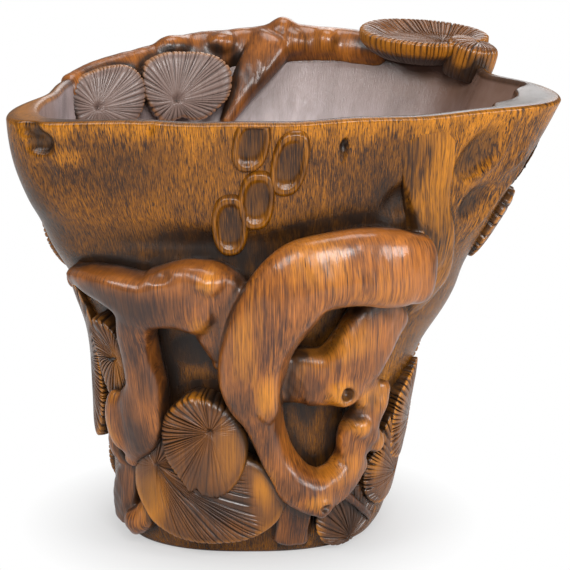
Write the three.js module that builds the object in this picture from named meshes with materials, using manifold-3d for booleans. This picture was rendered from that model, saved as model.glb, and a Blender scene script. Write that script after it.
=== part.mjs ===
// A libation cup carved from one horn. A gnarled pine grows round the wall in high
// relief: a ring of trunk in front, limbs to the left, pads of needles all round,
// an openwork trunk behind as the handle, and a branch lying along the back rim.
// Millimetres, +Z up. The origin is the middle of the foot's resting face, +X points
// to the long tip of the mouth, and the front of the cup faces -Y.

import * as THREE from 'three';
import { ParametricGeometry } from 'three/addons/geometries/ParametricGeometry.js';
import { mergeVertices } from 'three/addons/utils/BufferGeometryUtils.js';
import Module from 'manifold-3d';

const wasm = await Module();
wasm.setup();

// The cup's main sizes: height to the rim, its climb for each millimetre towards the tip
// and the back, the foot, the mouth, and how far the mouth sits off the foot's middle.
const RIM_HEIGHT = 94.5;
const TIP_CLIMB = 0.022;
const BACK_CLIMB = 0.02;
const FOOT_WIDTH = 52.5;
const FOOT_DEPTH = 45.5;
const MOUTH_WIDTH = 110;
const MOUTH_DEPTH = 77.5;
const MOUTH_TOWARDS_TIP = 7.2;
const MOUTH_TOWARDS_BACK = 3;

// The flare of the wall at stations up it, in percent of the rim's height: the share of
// the way from foot to mouth that its width, depth, and shifts to tip and back have gone.
const WALL_STATIONS = [
  { rise: 0, width: 0, depth: 0, tip: 0, back: 0 },
  { rise: 4, width: 0.08, depth: 0.11, tip: 0.03, back: 0.08 },
  { rise: 16, width: 0.14, depth: 0.16, tip: 0.14, back: 0.17 },
  { rise: 32, width: 0.2, depth: 0.22, tip: 0.24, back: 0.17 },
  { rise: 48, width: 0.3, depth: 0.37, tip: 0.31, back: 0.17 },
  { rise: 58, width: 0.45, depth: 0.5, tip: 0.34, back: 0.17 },
  { rise: 69, width: 0.65, depth: 0.64, tip: 0.38, back: 0.25 },
  { rise: 85, width: 0.86, depth: 0.83, tip: 0.59, back: 0.58 },
  { rise: 100, width: 1, depth: 1, tip: 1, back: 1 },
];

// How square the section is: 2 would be an ellipse.
const SQUARENESS = 2.4;

// Corners and flats of the mouth: where round the cup, how far out, and how wide in degrees.
const MOUTH_CORNERS = [
  { angle: 211, reach: 0.18, spread: 15 },
  { angle: 305, reach: 0.03, spread: 14 },
  { angle: 340, reach: 0.1, spread: 15 },
  { angle: 12, reach: -0.15, spread: 17 },
  { angle: 50, reach: -0.05, spread: 20 },
  { angle: 146, reach: -0.13, spread: 26 },
  { angle: 180, reach: -0.07, spread: 14 },
];
const CORNER_START = 50;
const CORNER_FULL = 97;
const INSIDE_CORNER = 0.6;

// Wall thickness at the rim, at mid height and low down, where those two are in percent of
// the rim's height, and the cup's floor.
const RIM_THICKNESS = 3.2;
const MIDDLE_THICKNESS = 5;
const LOW_THICKNESS = 9;
const MIDDLE_RISE = 70;
const LOW_RISE = 25;
const FLOOR_HEIGHT = 26;
const FLOOR_ROUND = 9;
const FOOT_BEVEL = 1;

// Clearance between neighbours, under a piece that rests on the wall, and from the
// wall's carving to the table and to the rim.
const GAP = 0.3;
const SEAT = 0.4;
const TABLE_CLEARANCE = 1.2;
const RIM_CLEARANCE = 1.6;

// Fineness of the facets.
const WALL_SIDES = 56;
const LIMB_SIDES = 8;
const PAD_SIDES = 22;

const HORN = { color: 0x8a5a28, roughness: 0.4, metalness: 0 };
const PINE_WOOD = { color: 0x9a5c2c, roughness: 0.36, metalness: 0 };
const NEEDLES = { color: 0x7e5326, roughness: 0.45, metalness: 0 };
const RIM_WOOD = { color: 0x86502a, roughness: 0.4, metalness: 0 };

const DEGREE = Math.PI / 180;
const UP = new THREE.Vector3(0, 0, 1);

// The wall

// A smooth curve through one column of the stations.
function stationCurve(column) {
  const points = WALL_STATIONS.map((station) => new THREE.Vector2(station.rise, station[column]));
  const last = points.length - 1;
  const slope = (i) => (points[i + 1].y - points[i].y) / (points[i + 1].x - points[i].x);
  const slopeAt = (i) => {
    if (i === 0 || i === last) {
      return slope(Math.min(i, last - 1));
    }
    return (slope(i - 1) + slope(i)) / 2;
  };
  return (rise) => {
    const above = points.findIndex((point) => point.x >= rise);
    const end = THREE.MathUtils.clamp(above, 1, last);
    const start = points[end - 1];
    const span = points[end].x - start.x;
    const t = (rise - start.x) / span;
    const ahead = t * t * (3 - 2 * t);
    return start.y * (1 - ahead) + points[end].y * ahead
      + span * (t * (1 - t) ** 2 * slopeAt(end - 1) - t * t * (1 - t) * slopeAt(end));
  };
}

const widthShare = stationCurve('width');
const depthShare = stationCurve('depth');
const tipShare = stationCurve('tip');
const backShare = stationCurve('back');

function riseOf(z) {
  return THREE.MathUtils.clamp(100 * z / RIM_HEIGHT, 0, 100);
}

// The wall's outline at a height: its middle, half sizes, and how much of the corners it has.
function section(z) {
  const rise = riseOf(z);
  return {
    x: MOUTH_TOWARDS_TIP * tipShare(rise),
    y: MOUTH_TOWARDS_BACK * backShare(rise),
    halfWidth: THREE.MathUtils.lerp(FOOT_WIDTH, MOUTH_WIDTH, widthShare(rise)) / 2,
    halfDepth: THREE.MathUtils.lerp(FOOT_DEPTH, MOUTH_DEPTH, depthShare(rise)) / 2,
    corner: THREE.MathUtils.smoothstep(rise, CORNER_START, CORNER_FULL),
  };
}

function mouthCorner(angle) {
  return MOUTH_CORNERS.reduce((sum, corner) => {
    const away = THREE.MathUtils.euclideanModulo(angle - corner.angle + 180, 360) - 180;
    return sum + corner.reach * Math.exp(-((away / corner.spread) ** 2));
  }, 0);
}

function wallRadius(angle, cut, cornerShare = 1) {
  const across = Math.abs(Math.cos(angle * DEGREE) / cut.halfWidth) ** SQUARENESS;
  const deep = Math.abs(Math.sin(angle * DEGREE) / cut.halfDepth) ** SQUARENESS;
  return (across + deep) ** (-1 / SQUARENESS) * (1 + cornerShare * mouthCorner(angle) * cut.corner);
}

function polarPoint(angle, z, radius, cut) {
  return new THREE.Vector3(
    cut.x + radius * Math.cos(angle * DEGREE),
    cut.y + radius * Math.sin(angle * DEGREE),
    z,
  );
}

function outside(angle, z) {
  const cut = section(z);
  return polarPoint(angle, z, wallRadius(angle, cut), cut);
}

function wallNormal(angle, z) {
  const step = 0.5;
  const height = THREE.MathUtils.clamp(z, step, RIM_HEIGHT - step);
  const round = outside(angle + step, height).sub(outside(angle - step, height));
  const rise = outside(angle, height + step).sub(outside(angle, height - step));
  return round.cross(rise).normalize();
}

// A place on the carving: degrees round the cup from +X, percent of the way up the wall,
// and how far it stands off the wall. Over the rim, the wall is taken to go straight up.
function wallPoint(angle, rise, lift) {
  const z = RIM_HEIGHT * rise / 100;
  const height = THREE.MathUtils.clamp(z, 0, RIM_HEIGHT);
  const point = outside(angle, height).addScaledVector(wallNormal(angle, height), lift);
  return point.addScaledVector(UP, z - height);
}

function rimHeight(point) {
  return RIM_HEIGHT + TIP_CLIMB * point.x + BACK_CLIMB * point.y;
}

function wallThickness(z) {
  const rise = riseOf(z);
  if (rise > MIDDLE_RISE) {
    return THREE.MathUtils.mapLinear(rise, MIDDLE_RISE, 100, MIDDLE_THICKNESS, RIM_THICKNESS);
  }
  const low = Math.max(rise, LOW_RISE);
  return THREE.MathUtils.mapLinear(low, LOW_RISE, MIDDLE_RISE, LOW_THICKNESS, MIDDLE_THICKNESS);
}

// The vessel's skin from the middle of the foot, up the outside, over the rim and
// down the inside to the middle of the floor. Each ring is a place on that way.
const OUTSIDE_RINGS = [0.01, 0.05, 0.12, 0.2, 0.29, 0.38, 0.46, 0.54, 0.62, 0.7, 0.79, 0.9, 1];
const INSIDE_RINGS = [1, 0.88, 0.75, 0.62, 0.5, 0.38, 0.26, 0.14, 0.05];

function vesselRing(ring, angle, grow) {
  const foot = section(0);
  const radius = wallRadius(angle, foot);
  if (ring === 0) {
    return polarPoint(angle, -grow, 0, foot);
  }
  if (ring === 1) {
    return polarPoint(angle, -grow, radius - FOOT_BEVEL + grow, foot);
  }
  const up = ring - 2;
  if (up < OUTSIDE_RINGS.length) {
    const top = rimHeight(outside(angle, RIM_HEIGHT)) + grow;
    const z = top * OUTSIDE_RINGS[up];
    const cut = section(z);
    return polarPoint(angle, z, wallRadius(angle, cut) + grow, cut);
  }
  const down = up - OUTSIDE_RINGS.length;
  const floor = FLOOR_HEIGHT + grow;
  if (down < INSIDE_RINGS.length) {
    const top = rimHeight(outside(angle, RIM_HEIGHT)) + grow;
    const share = INSIDE_RINGS[down];
    const z = floor + (top - floor) * share;
    const cut = section(z);
    const full = wallRadius(angle, cut, INSIDE_CORNER) - wallThickness(z) - grow;
    const low = THREE.MathUtils.clamp((z - floor) / FLOOR_ROUND, 0, 1);
    const rounding = Math.sqrt(1 - (1 - low) ** 2);
    const flat = full - FLOOR_ROUND;
    return polarPoint(angle, z, flat + (full - flat) * rounding, cut);
  }
  return polarPoint(angle, floor, 0, section(floor));
}

function vesselSurface(grow) {
  const rings = 2 + OUTSIDE_RINGS.length + INSIDE_RINGS.length;
  const pointAt = (u, v) => vesselRing(Math.round(v * rings), u * 360, grow);
  return closedGeometry(pointAt, WALL_SIDES, rings);
}

// Closed meshes and solids

function closedGeometry(pointAt, around, along) {
  const raw = new ParametricGeometry((u, v, target) => target.copy(pointAt(u, v)), around, along);
  raw.deleteAttribute('normal');
  raw.deleteAttribute('uv');
  const merged = mergeVertices(raw, 1e-4);
  const corners = merged.index.array;
  const kept = [];
  for (let i = 0; i < corners.length; i += 3) {
    const [a, b, c] = corners.slice(i, i + 3);
    if (a !== b && b !== c && c !== a) {
      kept.push(a, b, c);
    }
  }
  merged.setIndex(kept);
  return merged;
}

function toSolid(geometry) {
  return new wasm.Manifold(new wasm.Mesh({
    numProp: 3,
    vertProperties: new Float32Array(geometry.attributes.position.array),
    triVerts: new Uint32Array(geometry.index.array),
  }));
}

function toGeometry(solid) {
  const mesh = solid.getMesh();
  const geometry = new THREE.BufferGeometry();
  geometry.setAttribute('position', new THREE.BufferAttribute(mesh.vertProperties, 3));
  geometry.setIndex(new THREE.BufferAttribute(mesh.triVerts, 1));
  geometry.computeVertexNormals();
  return geometry;
}

function largestPiece(solid) {
  return solid.decompose().reduce((best, piece) => (piece.volume() > best.volume() ? piece : best));
}

// How far a point stands off the wall, and the same point moved out to rest on it.
function liftOf(point) {
  const cut = section(point.z);
  const angle = Math.atan2(point.y - cut.y, point.x - cut.x) / DEGREE;
  const away = Math.hypot(point.x - cut.x, point.y - cut.y) - wallRadius(angle, cut);
  const normal = wallNormal(angle, point.z);
  const lean = normal.x * Math.cos(angle * DEGREE) + normal.y * Math.sin(angle * DEGREE);
  return { lift: away * lean, normal };
}

function restOnWall(point, seat) {
  for (let pass = 0; pass < 3; pass += 1) {
    const { lift, normal } = liftOf(point);
    if (lift < seat) {
      point.addScaledVector(normal, seat - lift);
    }
  }
  point.z = Math.max(point.z, TABLE_CLEARANCE);
  return point;
}

// Limbs: an oval section drawn along a curve, round at both ends.
// A path point is [degrees round the cup, percent up the wall, lift, width, depth].

function limbSurface({ path, rings, onWall }, grow) {
  const centre = new THREE.CatmullRomCurve3(
    path.map(([angle, rise, lift]) => wallPoint(angle, rise, lift)),
  );
  const place = new THREE.CatmullRomCurve3(
    path.map(([angle, rise]) => new THREE.Vector3(angle, rise, 0)),
  );
  const size = new THREE.CatmullRomCurve3(
    path.map(([, , , width, depth]) => new THREE.Vector3(width / 2, depth / 2, 0)),
  );
  const length = centre.getLength();
  const pointAt = (u, v) => {
    const t = THREE.MathUtils.clamp(v - 0.12 * Math.sin(2 * Math.PI * v), 0, 1);
    const { x: halfWidth, y: halfDepth } = size.getPoint(t);
    const end = Math.min(t, 1 - t) * length;
    const cap = Math.min(halfDepth, length / 3);
    const round = Math.sqrt(1 - (1 - Math.min(end / cap, 1)) ** 2);
    const along = centre.getTangent(t);
    const { x: angle, y: rise } = place.getPoint(t);
    const out = wallNormal(angle, RIM_HEIGHT * rise / 100);
    out.addScaledVector(along, -out.dot(along)).normalize();
    const side = out.clone().cross(along);
    const turn = u * 2 * Math.PI;
    const point = centre.getPoint(t);
    point.addScaledVector(along, t < 0.5 ? -grow * (1 - round) : grow * (1 - round));
    point.addScaledVector(side, Math.cos(turn) * (halfWidth * round + grow));
    point.addScaledVector(out, Math.sin(turn) * (halfDepth * round + grow));
    return onWall && grow === 0 ? restOnWall(point, SEAT) : point;
  };
  const poleAt = (u, v) => (v === 0 || v === 1 ? pole(pointAt, v) : pointAt(u, v));
  return closedGeometry(poleAt, LIMB_SIDES, rings);
}

function pole(pointAt, v) {
  const middle = new THREE.Vector3();
  for (let quarter = 0; quarter < 4; quarter += 1) {
    middle.addScaledVector(pointAt(quarter / 4, v), 0.25);
  }
  return middle;
}

// Needle pads: a thick round pad with a low dome, from [share of radius, share of rise].

// How much of a pad's lift its underside follows.
const PAD_UNDERCUT = 0.6;
const PAD_PROFILE = [[0, 0], [0.6, 0], [0.95, 0], [1, 0.5], [0.86, 0.9], [0.45, 1], [0, 1]];

function padShape(v) {
  return PAD_PROFILE[Math.round(v * (PAD_PROFILE.length - 1))];
}

// On the wall, a pad follows the wall's curve. lean raises its right side and
// pitch its top, in millimetres of lift for each millimetre across or up.
function wallPadSurface({ angle, rise, across, up, thick, lift = 0, lean = 0, pitch = 0, turn = 0 }, grow) {
  const z = RIM_HEIGHT * rise / 100;
  const degreesPerMillimetre = 1 / outside(angle + 1, z).distanceTo(outside(angle, z));
  const climb = Math.hypot(wallNormal(angle, z).x, wallNormal(angle, z).y);
  const pointAt = (u, v) => {
    const [share, swell] = padShape(v);
    const spin = u * 2 * Math.PI;
    const p = (across + grow) * share * Math.cos(spin);
    const q = (up + grow) * share * Math.sin(spin);
    const x = p * Math.cos(turn * DEGREE) - q * Math.sin(turn * DEGREE);
    const y = p * Math.sin(turn * DEGREE) + q * Math.cos(turn * DEGREE);
    const raised = lift + lean * x + pitch * y;
    const under = SEAT + Math.max(0, raised * PAD_UNDERCUT);
    const top = Math.max(thick + raised, under + SEAT);
    const sunk = swell === 0 && grow > 0;
    const stand = sunk ? -RIM_THICKNESS : under + (top - under) * swell + grow;
    const low = TABLE_CLEARANCE - grow;
    const high = RIM_HEIGHT - RIM_CLEARANCE + grow;
    const height = THREE.MathUtils.clamp(z + y * climb, low, high);
    const point = wallPoint(angle + x * degreesPerMillimetre, 100 * height / RIM_HEIGHT, stand);
    return grow === 0 ? restOnWall(point, SEAT) : point;
  };
  return closedGeometry(pointAt, PAD_SIDES, PAD_PROFILE.length - 1);
}

// At the rim, a pad is flat and faces where it is told.
function rimPadSurface({ angle, rise, lift, across, up, thick, facing }, grow) {
  const middle = wallPoint(angle, rise, lift);
  const out = new THREE.Vector3(...facing).normalize();
  const helper = Math.abs(out.z) > 0.8 ? new THREE.Vector3(0, 1, 0) : UP;
  const side = helper.clone().cross(out).normalize();
  const high = out.clone().cross(side);
  const pointAt = (u, v) => {
    const [share, swell] = padShape(v);
    const spin = u * 2 * Math.PI;
    return middle.clone()
      .addScaledVector(side, (across + grow) * share * Math.cos(spin))
      .addScaledVector(high, (up + grow) * share * Math.sin(spin))
      .addScaledVector(out, (thick + 2 * grow) * (swell - 0.5));
  };
  return closedGeometry(pointAt, PAD_SIDES, PAD_PROFILE.length - 1);
}

// The carving, front pieces before what they cover. Each later piece is cut back
// by the earlier ones that it meets, so every neighbour keeps its own outline.

const CARVING = [
  {
    name: 'trunk_ring', look: PINE_WOOD, form: limbSurface, rings: 22, onWall: true,
    path: [
      [324, 72, 5, 16, 11], [315, 70, 6, 16, 12], [305, 70, 6.3, 15.5, 12.5], [294, 69.5, 6.5, 15, 12.5],
      [283.5, 66, 6.5, 14.5, 12.5], [273.6, 58, 6.3, 13.5, 12], [268, 48, 6, 12, 11.5],
      [267.3, 38.5, 5.8, 10.5, 11], [272.5, 29, 5.6, 10, 10.5], [283.5, 21.5, 5.2, 10.5, 10],
      [296, 17.5, 4.8, 9.5, 9], [306, 19.5, 4.2, 7.5, 7.5], [311, 24.5, 3.6, 6, 6.5],
    ],
  },
  {
    name: 'twig_knotted', look: PINE_WOOD, form: limbSurface, rings: 9, onWall: true,
    path: [
      [312, 26, 3.6, 6.5, 6], [313.6, 33, 3.8, 6.5, 6], [314.6, 39, 3.6, 6, 5.5], [317, 45.5, 2.8, 4.5, 4.5],
    ],
  },
  {
    name: 'trunk_stub', look: PINE_WOOD, form: limbSurface, rings: 9, onWall: true,
    path: [[322, 58, 3, 15, 7], [316, 51, 3.4, 12.5, 8], [308.5, 44, 3.8, 9.5, 8], [301.5, 39, 4, 7.5, 7.5]],
  },
  {
    name: 'needles_front_upper', look: NEEDLES, form: wallPadSurface,
    angle: 250.2, rise: 29, across: 8.8, up: 11.2, thick: 7.5, lift: 0.5, pitch: -0.05, turn: 6,
  },
  {
    name: 'branch_left', look: PINE_WOOD, form: limbSurface, rings: 13, onWall: true,
    path: [
      [209, 69, 2, 4, 4], [215, 67.5, 3, 6.5, 6], [219.5, 66, 3.4, 8, 7], [226.5, 65, 3.8, 10, 8],
      [235, 64, 4.2, 12, 9], [244, 63.5, 4.4, 13, 9.5], [252.5, 61, 4.2, 12.5, 9.5],
      [259, 55.5, 3.8, 10.5, 8.5], [262, 49, 3.2, 8, 7],
    ],
  },
  {
    name: 'limb_left', look: PINE_WOOD, form: limbSurface, rings: 12, onWall: true,
    path: [
      [230, 58.5, 3.4, 12, 8.5], [228.3, 53.5, 3.6, 10.5, 8.5], [226.6, 47.5, 4, 9.5, 8.5],
      [224.8, 41.5, 4, 9, 8.5], [222.4, 34.5, 4, 8.5, 8.5], [219.9, 28.5, 3.6, 7.5, 7.5], [217.6, 22, 3, 5, 5.5],
    ],
  },
  {
    name: 'limb_left_spur', look: PINE_WOOD, form: limbSurface, rings: 8, onWall: true,
    path: [[222.5, 40.5, 2.6, 4.5, 5], [216.8, 34, 3, 5, 5.5], [213.4, 27.5, 3, 5, 5.5], [212.4, 21.5, 2.4, 3.5, 4]],
  },
  {
    name: 'trunk_root', look: PINE_WOOD, form: limbSurface, rings: 7, onWall: true,
    path: [[281.5, 17.5, 2, 15, 6], [281.8, 10.5, 2.2, 14.5, 5], [281.5, 3, 1.8, 13, 4.4]],
  },
  {
    name: 'needles_front_lower', look: NEEDLES, form: wallPadSurface,
    angle: 250, rise: 15.5, across: 15.4, up: 10.6, thick: 5.2, lift: 0, lean: -0.03, turn: -8,
  },
  {
    name: 'root_left_front', look: PINE_WOOD, form: limbSurface, rings: 7, onWall: true,
    path: [[226, 11.5, 1.4, 4, 3.6], [221, 7, 1.8, 5.4, 4.6], [216.5, 5, 1.4, 4, 3.6]],
  },
  {
    name: 'root_left', look: PINE_WOOD, form: limbSurface, rings: 8, onWall: true,
    path: [[213, 18, 1.4, 4, 3.6], [210.5, 11.5, 1.9, 5.6, 4.6], [208, 6.5, 1.5, 4.6, 4]],
  },
  {
    name: 'bark_ridge', look: HORN, form: limbSurface, rings: 12, onWall: true,
    path: [
      [308, 97, 1.2, 7, 3.2], [310.4, 89.5, 1.4, 7, 3.6], [315.6, 82, 1.6, 7.5, 4.2], [322, 74, 1.8, 8, 4.6],
      [327, 64.5, 1.8, 8, 4.6], [329.3, 54, 1.5, 7, 3.8], [327.5, 44.5, 1.1, 5, 3],
    ],
  },
  {
    name: 'needles_left_front', look: NEEDLES, form: wallPadSurface,
    angle: 213.5, rise: 45, across: 5.6, up: 10.4, thick: 4.6, lean: 0.08, turn: 4,
  },
  {
    name: 'needles_left', look: NEEDLES, form: wallPadSurface,
    angle: 193, rise: 36, across: 10.5, up: 17, thick: 3.4, pitch: -0.03, turn: -4,
  },
  {
    name: 'needles_right_low', look: NEEDLES, form: wallPadSurface,
    angle: 332, rise: 18.5, across: 9.6, up: 12.2, thick: 1.9, lean: -0.23,
  },
  {
    name: 'needles_right_middle', look: NEEDLES, form: wallPadSurface,
    angle: 343, rise: 30, across: 11.5, up: 12, thick: 1.4, lean: -0.25,
  },
  {
    name: 'needles_foot_right', look: NEEDLES, form: wallPadSurface,
    angle: 311, rise: 9.5, across: 7.2, up: 7.4, thick: 2.8, lean: -0.1,
  },
  {
    name: 'needles_tip_upper', look: NEEDLES, form: wallPadSurface,
    angle: 2, rise: 84, across: 9.5, up: 8.4, thick: 2.2,
  },
  {
    name: 'needles_tip_lower', look: NEEDLES, form: wallPadSurface,
    angle: 354, rise: 69, across: 9, up: 8.6, thick: 2.4,
  },
  {
    name: 'handle_trunk', look: PINE_WOOD, form: limbSurface, rings: 20, onWall: true,
    path: [
      [99, 5, 2.6, 18, 8], [101, 15, 4, 16, 10], [104, 26.5, 5.4, 14, 11], [102, 38, 8, 12.5, 11],
      [96, 48.5, 12, 12, 11], [90, 59.5, 14.6, 12, 11], [86, 71, 15.2, 11.5, 10.5], [84, 82.5, 13.6, 11.5, 10.5],
      [84, 92, 9.5, 12, 10.5], [86, 101, 4, 11.5, 9.5],
    ],
  },
  {
    name: 'handle_branch', look: RIM_WOOD, form: limbSurface, rings: 18, onWall: false,
    path: [
      [164, 99, 0, 5, 5.5], [150, 100, 0.6, 6.5, 6.5],
      [137, 100.5, 0.8, 7, 7], [127, 101.5, 0.8, 7.5, 7],
      [116, 103, 0.6, 8, 7.5], [104, 104, 0, 8.5, 8],
      [92, 106.5, 0, 10, 9.5], [80, 105, 0.2, 8.5, 8],
      [68, 104, 0, 8, 7.5], [60, 103.5, -0.6, 7.5, 7],
    ],
  },
  {
    name: 'handle_fork', look: RIM_WOOD, form: limbSurface, rings: 9, onWall: false,
    path: [
      [97, 102.5, -4, 7.5, 7], [100, 98, -6, 6.5, 6],
      [104, 91.5, -6.2, 5, 5], [107, 86, -6.6, 3.4, 3.4],
    ],
  },
  {
    name: 'needles_rim_middle', look: NEEDLES, form: rimPadSurface,
    angle: 127, rise: 95.5, lift: -7.5, across: 10.6, up: 8.2, thick: 7.5, facing: [0.2, -0.96, 0.16],
  },
  {
    name: 'needles_rim_left', look: NEEDLES, form: rimPadSurface,
    angle: 150, rise: 94.5, lift: -3, across: 10.6, up: 7.8, thick: 7, facing: [0.46, -0.87, 0.14],
  },
  {
    name: 'needles_rim_right', look: NEEDLES, form: rimPadSurface,
    angle: 43, rise: 105, lift: -5, across: 14.6, up: 11, thick: 5.2, facing: [0.06, -0.26, 0.95],
  },
  {
    name: 'needles_rim_right_low', look: NEEDLES, form: rimPadSurface,
    angle: 32, rise: 102, lift: -2.5, across: 7, up: 6.4, thick: 4.6, facing: [0.36, -0.2, 0.9],
  },
  {
    name: 'branch_back_left', look: PINE_WOOD, form: limbSurface, rings: 11, onWall: true,
    path: [
      [104, 30.5, 3, 9, 8], [116, 38, 3.6, 8.5, 8], [129, 45.5, 3.8, 8, 7.5], [143, 50.5, 3.6, 7, 7],
      [157, 53, 3, 6, 6], [170, 56, 2.2, 4.5, 4.5],
    ],
  },
  {
    name: 'branch_back_right', look: PINE_WOOD, form: limbSurface, rings: 12, onWall: true,
    path: [
      [96, 19, 3, 9, 8], [83, 27.5, 3.6, 8.5, 8], [69, 37, 3.8, 8, 7.5], [56, 48.5, 3.6, 7, 7],
      [45, 59.5, 3, 6, 6], [36, 67.5, 2.2, 4.5, 4.5],
    ],
  },
  {
    name: 'branch_back_upper', look: PINE_WOOD, form: limbSurface, rings: 10, onWall: true,
    path: [
      [90, 89, 5, 9, 8], [101, 83.5, 3.6, 8, 7.5], [112, 81.5, 3.4, 7, 6.5], [122, 83, 3, 6, 5.5],
      [131, 87, 2, 4.5, 4.5],
    ],
  },
  {
    name: 'needles_back_high', look: NEEDLES, form: wallPadSurface,
    angle: 140, rise: 84.5, across: 9.5, up: 8.8, thick: 3.8,
  },
  {
    name: 'needles_back_left_upper', look: NEEDLES, form: wallPadSurface,
    angle: 149, rise: 64, across: 11.5, up: 9, thick: 4.4, turn: 10,
  },
  {
    name: 'needles_back_left_middle', look: NEEDLES, form: wallPadSurface,
    angle: 168, rise: 67.5, across: 9.6, up: 8.6, thick: 3.6,
  },
  {
    name: 'needles_back_left_low', look: NEEDLES, form: wallPadSurface,
    angle: 134, rise: 25.5, across: 12, up: 11.5, thick: 5,
  },
  {
    name: 'needles_back_foot', look: NEEDLES, form: wallPadSurface,
    angle: 156, rise: 13.5, across: 10, up: 9.4, thick: 4,
  },
  {
    name: 'needles_back_right_low', look: NEEDLES, form: wallPadSurface,
    angle: 63, rise: 17, across: 12, up: 11, thick: 5, turn: 8,
  },
  {
    name: 'needles_back_right_middle', look: NEEDLES, form: wallPadSurface,
    angle: 33, rise: 42.5, across: 10.5, up: 11.5, thick: 4.6,
  },
  {
    name: 'needles_back_right_upper', look: NEEDLES, form: wallPadSurface,
    angle: 40, rise: 77, across: 12, up: 9.4, thick: 4,
  },
  {
    name: 'needles_back_right_side', look: NEEDLES, form: wallPadSurface,
    angle: 14, rise: 23.5, across: 9.4, up: 11, thick: 4.2,
  },
];

// Bark scales: four shallow ovals in a leaning row under the front of the rim.
const SCALE_THICKNESS = 1.1;
const SCALE_TURN = 4;
const SCALES = [
  { angle: 262.6, rise: 94.7, across: 3.7, up: 5.6 },
  { angle: 275.3, rise: 90.4, across: 3.7, up: 6.8 },
  { angle: 267.2, rise: 82.6, across: 3.6, up: 6.2 },
  { angle: 259.4, rise: 77.1, across: 3.6, up: 6.5 },
];
SCALES.forEach((scale, i) => CARVING.push({
  name: `bark_scale_${i + 1}`, look: HORN, form: wallPadSurface, thick: SCALE_THICKNESS, turn: SCALE_TURN,
  ...scale,
}));

// Assembly

const cup = new THREE.Group();

function addPiece(name, geometry, look) {
  const mesh = new THREE.Mesh(geometry, new THREE.MeshStandardMaterial(look));
  mesh.name = name;
  cup.add(mesh);
}

function boxesMeet(a, b) {
  return a.min.every((low, i) => low < b.max[i] && b.min[i] < a.max[i]);
}

addPiece('vessel', vesselSurface(0), HORN);
const grownVessel = toSolid(vesselSurface(GAP));
const placed = [];

CARVING.forEach((piece) => {
  let solid = toSolid(piece.form(piece, 0));
  if (piece.form === rimPadSurface || piece.onWall === false) {
    solid = solid.subtract(grownVessel);
  }
  placed.forEach((earlier) => {
    if (boxesMeet(solid.boundingBox(), earlier.boundingBox())) {
      solid = solid.subtract(earlier);
    }
  });
  addPiece(piece.name, toGeometry(largestPiece(solid)), piece.look);
  placed.push(toSolid(piece.form(piece, GAP)));
});

export default cup;
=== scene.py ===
"""Visual model of a libation cup carved from one horn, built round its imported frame.

A gnarled pine grows round the wall in high relief. The script is laid out as an add-on:
sizes and colours are properties of the scene, each group of pieces is an operator, and
main() calls them in order. Working lengths are in millimetres.
"""

import math

import bpy
import numpy as np
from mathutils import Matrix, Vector


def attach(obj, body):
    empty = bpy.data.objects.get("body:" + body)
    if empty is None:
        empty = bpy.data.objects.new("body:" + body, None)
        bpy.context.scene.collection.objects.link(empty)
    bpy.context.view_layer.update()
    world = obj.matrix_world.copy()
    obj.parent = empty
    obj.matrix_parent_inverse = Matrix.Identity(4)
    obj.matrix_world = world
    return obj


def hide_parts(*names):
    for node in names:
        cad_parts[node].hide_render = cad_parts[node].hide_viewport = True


bl_info = {
    "name": "Horn cup",
    "version": (1, 0, 0),
    "blender": (4, 5, 0),
    "location": "View3D > Sidebar > Horn cup",
    "description": "Builds a carved horn cup with pine branches and needle pads",
    "category": "Object",
}

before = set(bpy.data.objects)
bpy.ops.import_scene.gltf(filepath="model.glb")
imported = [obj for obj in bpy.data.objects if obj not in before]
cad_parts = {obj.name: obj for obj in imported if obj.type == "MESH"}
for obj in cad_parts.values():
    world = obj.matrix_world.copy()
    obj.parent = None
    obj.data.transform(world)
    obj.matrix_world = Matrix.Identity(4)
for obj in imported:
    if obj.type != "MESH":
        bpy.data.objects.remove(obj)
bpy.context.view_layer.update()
MM = 0.001


# Sizes and colours


def length(name, description, millimetres):
    return bpy.props.FloatProperty(
        name=name, description=description, default=millimetres * MM, min=0, unit="LENGTH", precision=5
    )


def colour(name, description, red, green, blue):
    return bpy.props.FloatVectorProperty(
        name=name, description=description, default=(red, green, blue), size=3, min=0, max=1, subtype="COLOR"
    )


class HornCupSizes(bpy.types.PropertyGroup):
    rim_height: length("Rim height", "Height of the rim over the foot", 94.5)
    foot_width: length("Foot width", "Width of the foot from side to side", 52.5)
    foot_depth: length("Foot depth", "Depth of the foot from front to back", 45.5)
    mouth_width: length("Mouth width", "Width of the mouth without its corners", 110)
    mouth_depth: length("Mouth depth", "Depth of the mouth without its corners", 77.5)
    mouth_towards_tip: length("Mouth to tip", "Shift of the mouth towards the long tip", 7.2)
    mouth_towards_back: length("Mouth to back", "Shift of the mouth towards the handle", 3)
    rim_thickness: length("Rim thickness", "Thickness of the wall at the rim", 3.2)
    floor_height: length("Floor height", "Height of the inside floor over the foot", 26)
    fillet: length("Fillet", "How softly one branch runs into the next", 1.0)
    wall_fillet: length("Wall fillet", "How softly a branch runs into the wall", 1.3)
    needle_width: length("Needle width", "Spacing of the needles at the edge of a pad", 1.15)
    needle_depth: length("Needle depth", "Depth of the cuts between needles", 0.42)
    camera_distance: length("Camera distance", "From the camera to the cup", 500)
    camera_height: bpy.props.FloatProperty(
        name="Camera elevation",
        description="Angle of the camera over the table",
        default=math.radians(14),
        subtype="ANGLE",
    )


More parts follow.
